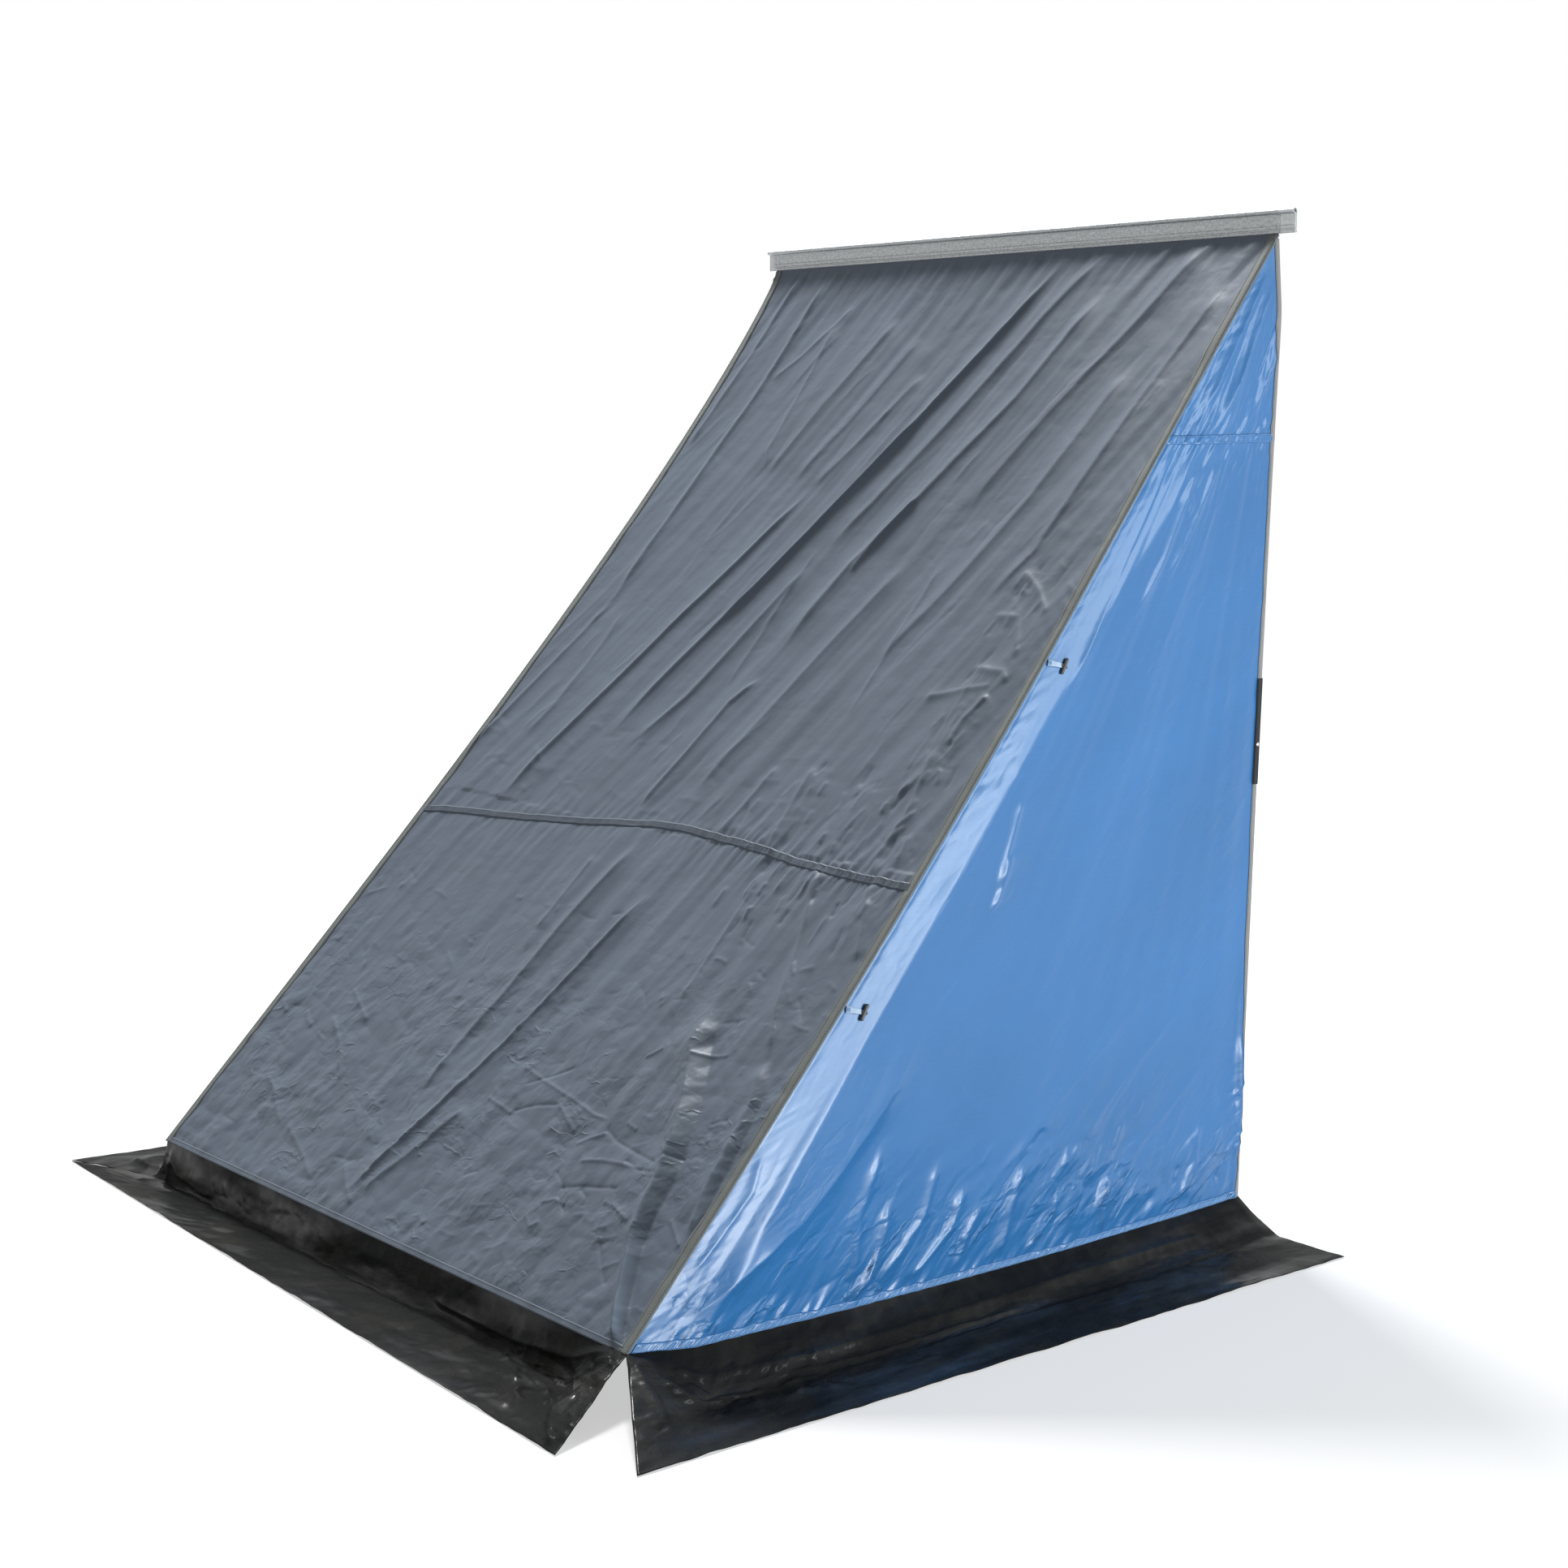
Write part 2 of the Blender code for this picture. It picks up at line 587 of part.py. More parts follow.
def build_toggle(word, row, side, parent):
    """One webbing loop and its bar, on an empty at the loop's root."""
    root, way, out, bar_way, bar_rise = toggle_frame(side, TOGGLE_PLACES[row])
    turn_radius = TOGGLE_RADIUS + GAP + LOOP_TAPE / 2
    lift = CLOTH / 2 + GAP + LOOP_TAPE / 2
    bar_height = bar_rise + CLOTH / 2 + GAP + TOGGLE_FLANGE - lift
    bar_reach = LOOP_LENGTH - turn_radius
    low = bar_height - turn_radius
    run_in = bar_reach - 0.008
    path = [(0.0, 0.0), (run_in, 0.0), (bar_reach - 0.003, low + 0.0002)]
    for k in range(ARC_STEPS + 1):
        angle = -math.pi / 2 + math.pi * k / ARC_STEPS
        path.append((bar_reach + turn_radius * math.cos(angle), bar_height + turn_radius * math.sin(angle)))
    path.append((bar_reach - 0.004, bar_height + turn_radius * 0.9))
    path.append((run_in - 0.006, LOOP_TAPE + GAP))
    path.append((LOOP_TAPE, LOOP_TAPE + GAP))
    axis_place = root + out * lift - side.hinge
    holder = empty("toggle_axis_{}_{}".format(word, row), axis_place, parent)
    loop = ribbon_mesh(path, LOOP_TAPE, (way, out), bar_way, LOOP_WIDTH)
    new_object("toggle_loop_{}_{}".format(word, row), loop, "webbing", holder)
    half = TOGGLE_LENGTH / 2
    collar = LOOP_WIDTH / 2 + GAP
    profile = [
        (0, -half), (TOGGLE_RADIUS * 0.7, -half), (TOGGLE_RADIUS, -half + 0.001),
        (TOGGLE_RADIUS, -collar - FLANGE_THICKNESS), (TOGGLE_FLANGE, -collar - FLANGE_THICKNESS),
        (TOGGLE_FLANGE, -collar), (TOGGLE_RADIUS, -collar), (TOGGLE_RADIUS, collar), (TOGGLE_FLANGE, collar),
        (TOGGLE_FLANGE, collar + FLANGE_THICKNESS), (TOGGLE_RADIUS, collar + FLANGE_THICKNESS),
        (TOGGLE_RADIUS, half - 0.001), (TOGGLE_RADIUS * 0.7, half), (0, half),
    ]
    place = way * bar_reach + out * bar_height
    bar = turned_mesh(profile, 12)
    new_object("toggle_bar_{}_{}".format(word, row), bar, "black_plastic", holder, place, along_axis(bar_way, out))


def skirt_point(inner, outer, crease_run, share):
    """A strip that falls from its seam, turns at a soft crease and lies flat to its outer edge."""
    floor = SKIRT_CLOTH / 2
    top = Vector((inner.x, inner.y, inner.z - SEAM_GAP))
    end = Vector((outer.x, outer.y, floor))
    run = Vector((end.x - top.x, end.y - top.y, 0))
    crease = Vector((top.x, top.y, floor)) + run.normalized() * crease_run
    landing = crease.lerp(end, 0.16)
    bend = 0.5
    if share < bend:
        k = share / bend
        over = Vector((crease.x, crease.y, floor))
        return top * (1 - k) ** 2 + over * 2 * k * (1 - k) + landing * k ** 2
    return landing.lerp(end, (share - bend) / (1 - bend))


def build_front_skirt(holder, sides):
    """The strip under the front hem: open at the right corner, meeting the side strip at the left."""
    left_out = Vector((-SKIRT_REACH, -FRONT_SKIRT_LEFT, 0))
    right_out = Vector((FRONT_SKIRT_CORNER, -FRONT_REACH, 0))

    def surface(share_across, share_down):
        across = -1 + 2 * share_across
        hem = roof_point(sides, across, 1.0)
        end = sides[RIGHT].corner if across > 0 else sides[LEFT].corner
        hem = hem.lerp(end, max(abs(across) - 0.9, 0) * 8)
        outer = left_out.lerp(right_out, share_across)
        return skirt_point(hem + Vector((0, 0, -CLOTH / 2)), outer, FRONT_CREASE_RUN, share_down)

    data = sheet_mesh(surface, steps(0, 1, 24), steps(0, 1, 8), SKIRT_CLOTH)
    new_object("skirt_front", data, "skirt_sheet", holder)


def build_side_skirt(word, side, holder):
    """The strip under one side panel, which lies flatter than the front one."""
    rear_out = Vector((side.hand * SKIRT_REAR_REACH, -WALL_CLEARANCE, 0))
    if side.hand == RIGHT:
        front_out = Vector((SKIRT_REACH, -SIDE_SKIRT_FRONT, 0))
    else:
        front_out = Vector((-SKIRT_REACH, -FRONT_SKIRT_LEFT + LEFT_CORNER_GAP, 0))

    def surface(share_along, share_down):
        hem = side.hem(SKIRT_START + (1 - SKIRT_START) * share_along)
        hem = hem + Vector((0, 0, -CLOTH / 2))
        outer = front_out.lerp(rear_out, share_along)
        return skirt_point(hem, outer, SIDE_CREASE_RUN, share_down)

    data = sheet_mesh(surface, steps(0, 1, 20), steps(0, 1, 8), SKIRT_CLOTH, side.hinge)
    new_object("skirt_" + word, data, "skirt_sheet", holder)


def pole_line(side):
    """The pole's axis: its point on the ground, the way up it and its length to the wall."""
    ends = []
    steepest = max(side.ridge_slope(t) for t in steps(0.3, 0.7, 4))
    clear = CLAMP_RADIUS + CLOTH / 2 + 2 * GAP
    depth = clear * math.sqrt(1 + steepest ** 2) - steepest * POLE_OFFSET
    for t in (0.0, 1.0):
        inset = side.ridge_out(t) - depth
        ends.append(side.apex.lerp(side.corner, t) + side.back * (RIDGE_SET + POLE_OFFSET) + side.out * inset)
    way = (ends[0] - ends[1]).normalized()
    on_ground = ends[1] - way * (ends[1].z / way.z)
    spread = LOWER_TUBE_RADIUS * math.sqrt(1 - way.y ** 2)
    length = (-WALL_CLEARANCE - spread - on_ground.y) / way.y
    return on_ground, way, length


def build_pole(word, side, base, holder):
    """A telescopic pole from the front corner to the wall."""
    on_ground, way, length = pole_line(side)
    frame = along_axis(way, Vector((-side.hand, 0, 0)))
    tube_start = FOOT_SOLE + GAP
    tube_end = tube_start + LOWER_TUBE_LENGTH

    def tube(radius, wall, low, high):
        inner = radius - wall
        return turned_mesh([(inner, low), (radius, low), (radius, high), (inner, high)])

    lower = tube(LOWER_TUBE_RADIUS, LOWER_TUBE_WALL, tube_start, tube_end)
    new_object("pole_lower_tube_" + word, lower, "steel_tube", base, on_ground, frame)

    foot_bore = LOWER_TUBE_RADIUS + GAP
    foot_profile = [
        (0, -FOOT_LENGTH), (FOOT_RADIUS, -FOOT_LENGTH), (FOOT_RADIUS, FOOT_LENGTH - 0.004),
        (foot_bore + 0.0015, FOOT_LENGTH), (foot_bore, FOOT_LENGTH), (foot_bore, FOOT_SOLE), (0, FOOT_SOLE),
    ]
    foot = turned_mesh(foot_profile)
    ground_normal = frame.transposed() @ Vector((0, 0, 1))
    whole = foot.verts[:] + foot.edges[:] + foot.faces[:]
    cut = bmesh.ops.bisect_plane(foot, geom=whole, plane_co=(0, 0, 0), plane_no=ground_normal, clear_inner=True)
    cut_edges = [item for item in cut["geom_cut"] if isinstance(item, bmesh.types.BMEdge)]
    bmesh.ops.contextual_create(foot, geom=cut_edges)
    new_object("pole_foot_" + word, foot, "pole_rubber", base, on_ground, frame)

    clamp_low = tube_end - CLAMP_BELOW
    clamp_high = tube_end + CLAMP_ABOVE
    lower_bore = LOWER_TUBE_RADIUS + GAP
    upper_bore = UPPER_TUBE_RADIUS + GAP
    shoulder = tube_end + GAP
    rim = 0.002
    collar = turned_mesh([
        (lower_bore, clamp_low), (CLAMP_RADIUS - rim, clamp_low), (CLAMP_RADIUS, clamp_low + rim),
        (CLAMP_RADIUS, clamp_high - rim), (CLAMP_RADIUS - rim, clamp_high), (upper_bore, clamp_high),
        (upper_bore, shoulder), (lower_bore, shoulder),
    ])
    clamp = new_object("pole_clamp_" + word, collar, "black_plastic", base, on_ground, frame)
    screw_height = (shoulder + clamp_high) / 2
    sideways = frame @ Matrix(((0, 0, 1), (0, 1, 0), (-1, 0, 0)))
    screw_place = on_ground + way * screw_height
    boss_start = UPPER_TUBE_RADIUS + 0.003
    boss = turned_mesh([(0, boss_start), (BOSS_RADIUS, boss_start), (BOSS_RADIUS, BOSS_REACH), (0, BOSS_REACH)])
    join = clamp.modifiers.new("boss", "BOOLEAN")
    join.operation = "UNION"
    join.solver = "EXACT"
    join.object = guide("pole_clamp_boss_" + word, boss, base, screw_place, sideways)
    hole = clamp.modifiers.new("screw_hole", "BOOLEAN")
    hole.operation = "DIFFERENCE"
    hole.solver = "EXACT"
    bore_radius = SCREW_RADIUS + GAP
    bore = turned_mesh([(0, 0.004), (bore_radius, 0.004), (bore_radius, 2 * BOSS_REACH), (0, 2 * BOSS_REACH)])
    hole.object = guide("pole_clamp_bore_" + word, bore, base, screw_place, sideways)

    tip = UPPER_TUBE_RADIUS + GAP
    knob_start = BOSS_REACH + GAP
    knob_end = knob_start + KNOB_THICKNESS
    screw = turned_mesh(
        [(0, tip), (SCREW_RADIUS, tip), (SCREW_RADIUS, knob_start), (KNOB_RADIUS * 0.9, knob_start),
         (KNOB_RADIUS, knob_start + 0.002), (KNOB_RADIUS, knob_end - 0.0015), (KNOB_RADIUS * 0.8, knob_end),
         (0, knob_end)],
        24, lambda radius, angle: 0.12 * math.cos(KNOB_LOBES * angle) if radius > BOSS_RADIUS else 0.0)
    screw_holder = empty("clamp_screw_axis_" + word, screw_place, base)
    new_object("clamp_screw_" + word, screw, "black_plastic", screw_holder, (0, 0, 0), sideways)

    upper_start = tube_end - TUBE_OVERLAP
    upper_end = length - CAP_END - GAP
    upper = tube(UPPER_TUBE_RADIUS, UPPER_TUBE_WALL, upper_start, upper_end)
    slide_holder = empty("pole_slide_axis_" + word, on_ground, base)
    new_object("pole_upper_tube_" + word, upper, "steel_tube", slide_holder, (0, 0, 0), frame)
    cap_bore = UPPER_TUBE_RADIUS + GAP
    cap_radius = LOWER_TUBE_RADIUS
    cap = turned_mesh([
        (0, length - CAP_END), (cap_bore, length - CAP_END), (cap_bore, length - CAP_LENGTH),
        (cap_radius, length - CAP_LENGTH), (cap_radius, length - 0.003), (cap_radius * 0.8, length), (0, length),
    ])
    new_object("pole_cap_" + word, cap, "pole_rubber", slide_holder, (0, 0, 0), frame)


def guide(name, data, parent, place, turn):
    """A hidden shape that a Boolean uses."""
    shape = new_object(name, data, "black_plastic", parent, place, turn)
    shape.hide_render = True
    shape.display_type = "WIRE"
    return shape


def main():
    clear_scene()
    base = empty("wall_foot", (0, WALL_Y, 0))
    sides = {hand: SideFrame(hand) for hand in (RIGHT, LEFT)}
    build_keder(base)
    build_roof(base, sides)
    build_front_skirt(base, sides)
    for word, hand in SIDES.items():
        side = sides[hand]
        hinge = empty("side_panel_axis_" + word, side.hinge, base)
        build_side(word, side, hinge)
        build_side_skirt(word, side, hinge)
        for row in TOGGLE_PLACES:
            build_toggle(word, row, side, hinge)
        build_pole(word, side, base, base)
    bpy.context.view_layer.update()


main()
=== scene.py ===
"""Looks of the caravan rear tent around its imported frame: folded cloth, tapes, seams, skirts."""
import math

import bpy
import numpy as np
from mathutils import Matrix, Vector


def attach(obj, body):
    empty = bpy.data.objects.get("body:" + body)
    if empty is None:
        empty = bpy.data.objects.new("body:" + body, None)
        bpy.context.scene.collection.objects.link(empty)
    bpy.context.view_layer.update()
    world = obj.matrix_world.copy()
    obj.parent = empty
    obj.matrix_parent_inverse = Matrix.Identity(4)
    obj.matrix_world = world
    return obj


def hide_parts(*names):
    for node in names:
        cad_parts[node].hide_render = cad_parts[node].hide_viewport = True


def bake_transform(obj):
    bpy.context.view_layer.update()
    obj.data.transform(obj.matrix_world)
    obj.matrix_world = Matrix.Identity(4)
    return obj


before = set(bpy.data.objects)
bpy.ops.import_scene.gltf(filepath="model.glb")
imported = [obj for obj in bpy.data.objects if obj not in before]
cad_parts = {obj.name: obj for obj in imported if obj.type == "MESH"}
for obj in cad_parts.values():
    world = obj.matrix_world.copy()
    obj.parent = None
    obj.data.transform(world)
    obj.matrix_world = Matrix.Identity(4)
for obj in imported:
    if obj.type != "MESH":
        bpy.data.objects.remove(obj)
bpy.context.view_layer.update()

# The tent's sizes as the frame has them, in metres. A hand is 1 for right, -1 for left.
WALL = 0.895  # y of the caravan's wall
WALL_GAP = 0.002
RAIL_HEIGHT = 2.0
ROOF_TOP = 1.963  # height of the roof's top edge
SLOPE_LENGTH = 2.45  # of the roof's diagonal edges
DROP = 1.905  # from a side's apex down to its foot at the wall
APEX_OUT, CORNER_OUT, FOOT_OUT = 0.797, 0.876, 0.741  # half widths
CORNER_DEPTH, CORNER_HEIGHT, FOOT_HEIGHT = 1.576, 0.087, 0.058
SAGS = {1: (0.034, 1.16), -1: (0.057, 0.66)}  # sag and skew of a diagonal edge
RIDGE = 0.095  # how far behind the diagonal edge the pole lies
RIDGE_OUT = (0.014, 0.028)  # how far the pole pushes the cloth out, at the apex and the corner
RIDGE_REACH = 0.35  # the way over which that fades towards the rear
ROOF_SAG = 0.030
ROOF_NORMAL = np.array([0.0, -0.7657, 0.6432])
GORE_SEAM = 0.203  # share of the drop down to the gore's seam
TAB_SPAN = (1.109, 0.900)  # heights of the fixing tab's ends
CORD_RADIUS = 0.00375
SKIRT_CORNER, SKIRT_REAR = 1.145, 1.026  # half widths of the side skirts' outer edge
SKIRT_FRONTS = {1: 1.738, -1: 1.676}  # their reach from the wall
FRONT_SKIRT_RIGHT = (0.995, 1.790)  # half width and reach of the front skirt's right corner
SKIRT_TUCK = 0.004  # how far the skirts start up under the hems

CREST = 0.0015  # rounding of a drawn crease
SEAM_HALF = 0.0085  # half width of the doubled strips on the cross seam and the gores' seams
STRIP_EDGE = 0.0002  # lift of a strip's edges
STRIP_THICKNESS = 0.0006
SEAM_THREAD, HEM_RUNG_THREAD = 0.00042, 0.00085  # radii


# Smooth noise and creases on flat coordinates.
def gradient_noise(x, y, seed):
    """Perlin noise, about -0.7 to 0.7, one feature per unit."""
    angles = np.random.RandomState(seed).uniform(0, 2 * math.pi, (256, 256))
    xi, yi = np.floor(x).astype(int), np.floor(y).astype(int)
    fx, fy = x - xi, y - yi
    u = fx ** 3 * (fx * (fx * 6 - 15) + 10)
    v = fy ** 3 * (fy * (fy * 6 - 15) + 10)

    def corner(dx, dy):
        angle = angles[(xi + dx) & 255, (yi + dy) & 255]
        return np.cos(angle) * (fx - dx) + np.sin(angle) * (fy - dy)

    low = corner(0, 0) * (1 - u) + corner(1, 0) * u
    high = corner(0, 1) * (1 - u) + corner(1, 1) * u
    return low * (1 - v) + high * v


def facets(x, y, seed):
    """Straight edged cells like crushed cloth: 0 at the cells' edges, up to 1 inside."""
    offsets = np.random.RandomState(seed).uniform(0, 1, (2, 256, 256))
    xi, yi = np.floor(x).astype(int), np.floor(y).astype(int)
    first = second = np.full(x.shape, 9.0)
    for dx in (-1, 0, 1):
        for dy in (-1, 0, 1):
            cx, cy = xi + dx, yi + dy
            px = cx + offsets[0][cx & 255, cy & 255]
            py = cy + offsets[1][cx & 255, cy & 255]
            far = np.hypot(px - x, py - y)
            second = np.where(far < first, first, np.minimum(second, far))
            first = np.minimum(first, far)
    return np.clip(second - first, 0, 1)


def step(value, low, high):
    """Eases from 0 at low to 1 at high."""
    share = np.clip((value - low) / (high - low), 0, 1)
    return share * share * (3 - 2 * share)


def crease(x, y, points, depth, width, ends=0.12, terrace=False):
    """A drawn fold: a pinched crest along a line, which eases out on its right side or, as a
    terrace, falls straight there; ends is the share of its length that fades at each end."""
    points = np.array(points, float)
    runs = np.diff(points, axis=0)
    lengths = np.hypot(*runs.T)
    total = lengths.sum()
    reach = np.max(width) * 8
    low, high = points.min(0) - reach, points.max(0) + reach
    near = (x > low[0]) & (x < high[0]) & (y > low[1]) & (y < high[1])
    px, py = x[near], y[near]
    if terrace:
        width = width[near]
    best = np.full(px.shape, 1e3)
    side = np.zeros(px.shape)
    place = np.zeros(px.shape)
    travelled = 0.0
    for start, run, length in zip(points, runs, lengths):
        dx, dy = px - start[0], py - start[1]
        along = np.clip((dx * run[0] + dy * run[1]) / length ** 2, 0, 1)
        dx, dy = dx - along * run[0], dy - along * run[1]
        far = np.hypot(dx, dy)
        closer = far < best
        side = np.where(closer, np.sign(run[0] * dy - run[1] * dx), side)
        place = np.where(closer, (travelled + along * length) / total, place)
        best = np.minimum(best, far)
        travelled += length
    fade = step(place, 0, ends) * step(1 - place, 0, ends)
    best = np.sqrt(best ** 2 + CREST ** 2) - CREST
    if terrace:
        right = np.clip(1 - best / width, 0, 1)
    else:
        right = 0.45 * np.exp(-best / (0.35 * width)) + 0.55 * np.exp(-best / (1.8 * width))
    left = 0.75 * np.exp(-(best / (0.80 * width)) ** 1.5) + 0.25 * np.exp(-best / (2.4 * width))
    height = np.zeros(x.shape)
    height[near] = depth * fade * np.where(side < 0, right, left) * step(reach - best, 0, width * 2)
    return height


def drawn(x, y, rows, ends=0.12):
    """A table's creases, added up; a row is a depth, a width and the points of a line, in mm."""
    height = np.zeros(x.shape)
    for depth, width, *line in rows:
        points = np.reshape(line, (-1, 2)) / 1000
        height += crease(x, y, points, depth / 1000, width / 1000, ends)
    return height


def scattered(x, y, seed, count, area, depth, length, width, lean, spread):
    """Many short creases inside an area (x0, y0, x1, y1); a third of them are hollows."""
    random = np.random.RandomState(seed)
    height = np.zeros(x.shape)
    for _ in range(count):
        cx = random.uniform(area[0], area[2])
        cy = random.uniform(area[1], area[3])
        angle = lean + random.uniform(-spread, spread)
        half = random.uniform(*length) / 2
        bend = random.uniform(-0.15, 0.15) * half
        dx, dy = math.sin(angle) * half, math.cos(angle) * half
        middle = (cx + bend * dy / half, cy - bend * dx / half)
        height += crease(x, y, [(cx - dx, cy - dy), middle, (cx + dx, cy + dy)],
                         random.uniform(*depth) * random.choice((1, 1, -1)),
                         random.uniform(*width), 0.3)
    return height


def ripples(along, away, seed, size, reach):
    """Puckers of a gathered seam: strong at the seam, fading with the way from it."""
    wave = gradient_noise(along / size, away / (reach * 1.6), seed)
    fine = gradient_noise(along / (size * 0.45) + 7, away / reach, seed + 1)
    return (wave * np.exp(-(away / reach)) + 0.45 * fine * np.exp(-(away / (reach * 0.45)))) * 1.5


# The tent's surfaces, in the frame's coordinates.
class Side:
    """One side's seam, cloth and directions. t is the share of the way down from the apex."""

    def __init__(self, hand):
        mirror = np.array([hand, 1, 1])
        self.hand = hand
        self.word = "right" if hand > 0 else "left"
        self.apex = np.array([APEX_OUT, WALL - WALL_GAP, ROOF_TOP]) * mirror
        self.corner = np.array([CORNER_OUT, WALL - CORNER_DEPTH, CORNER_HEIGHT]) * mirror
        self.foot = np.array([FOOT_OUT, WALL - WALL_GAP, FOOT_HEIGHT]) * mirror
        chord = self.corner - self.apex
        self.length = np.linalg.norm(chord)
        self.down = chord / self.length
        out = np.cross(chord, self.foot - self.apex)
        out /= np.linalg.norm(out)
        self.out = out if out[0] * hand > 0 else -out
        back = np.cross(self.out, self.down)
        self.back = back if back[1] > 0 else -back

    def sag(self, t):
        depth, skew = SAGS[self.hand]
        return depth * np.sin(np.pi * np.clip(t, 0, 1) ** skew)

    def seam(self, t):
        """The roof's diagonal edge."""
        t = np.asarray(t, float)[..., None]
        return self.apex + (self.corner - self.apex) * t + self.back * self.sag(t)

    def ends(self, t):
        """Where a row of the cloth starts at the roof's edge and ends at the wall."""
        t = np.asarray(t, float)
        return self.seam(t), self.apex + (self.foot - self.apex) * t[..., None]

    def width(self, t):
        start, end = self.ends(t)
        return np.linalg.norm(end - start, axis=-1)

    def swell(self, flat):
        """How far the pole pushes the cloth out: two slopes that meet in a soft ridge."""
        offset = flat - self.apex
        t = offset @ self.down / self.length
        behind = offset @ self.back
        sag = self.sag(t)
        ridge = RIDGE_OUT[0] + (RIDGE_OUT[1] - RIDGE_OUT[0]) * t
        near = ridge * (behind - sag) / (RIDGE - sag)
        far = ridge * np.exp((RIDGE - behind) / RIDGE_REACH)
        soft = 0.0011
        low = np.minimum(near, far)
        return low - soft * np.log(np.exp((low - near) / soft) + np.exp((low - far) / soft))

    def point(self, t, reach, rise=True):
        """Cloth at a row and a reach from the roof's edge; rise adds the folds."""
        t, reach = np.broadcast_arrays(np.asarray(t, float), np.asarray(reach, float))
        start, end = self.ends(t)
        room = np.linalg.norm(end - start, axis=-1)
        way = (end - start) / room[..., None]
        flat = start + way * reach[..., None]
        height = self.swell(flat)
        if rise:
            height = height + side_folds(self, t, reach, room)
        share = np.clip(reach / room, 0, 1)
        lower = step(t, 0.72, 1.0) * 0.018 * 4 * share * (1 - share)
        return flat + self.out * height[..., None] - np.array([0, 0, 1]) * lower[..., None]


SIDE_CREASES = (
    # depth, width, then points: reach from the roof's edge and drop; all in mm
    (3, 14, 35, 420, 60, 620, 100, 860),
    (4, 10, 110, 420, 160, 600, 170, 720),
    (3, 12, 170, 420, 200, 560, 210, 660),
    (1.4, 18, 220, 440, 270, 620, 330, 880),
    (6, 12, 130, 1020, 180, 1120, 220, 1190),
    (6, 10, 190, 1120, 220, 1180, 240, 1230),
    (2.2, 24, 880, 1420, 780, 1600, 660, 1820),
    (2.6, 22, 1020, 1460, 940, 1620, 860, 1860),
    (2.4, 20, 1200, 1600, 1120, 1740, 1080, 1860),
    (5, 16, 1260, 1560, 1380, 1700, 1500, 1870),
    (8, 18, 300, 1600, 360, 1740, 460, 1860),
    (9, 14, 420, 1720, 470, 1800, 500, 1890),
    (6, 16, 500, 1660, 550, 1770, 530, 1880),
    (9, 14, 620, 1720, 650, 1800, 610, 1890),
    (7, 11, 700, 1760, 710, 1820, 740, 1890),
    (9, 14, 760, 1700, 800, 1790, 860, 1890),
    (6, 11, 930, 1780, 950, 1830, 930, 1890),
    (8, 12, 1060, 1770, 1100, 1830, 1150, 1890),
    (6, 13, 1280, 1720, 1340, 1800, 1360, 1880),
    (5, 12, 130, 50, 170, 200, 200, 360),
    (5, 11, 50, 80, 90, 220, 120, 370),
    (-4, 9, 90, 40, 130, 180, 160, 300),
    (4, 9, 20, 60, 40, 180, 60, 340),
    (4, 8, 130, 480, 150, 500, 170, 530),
    (4, 10, 12, 1580, 45, 1660, 30, 1800),
)


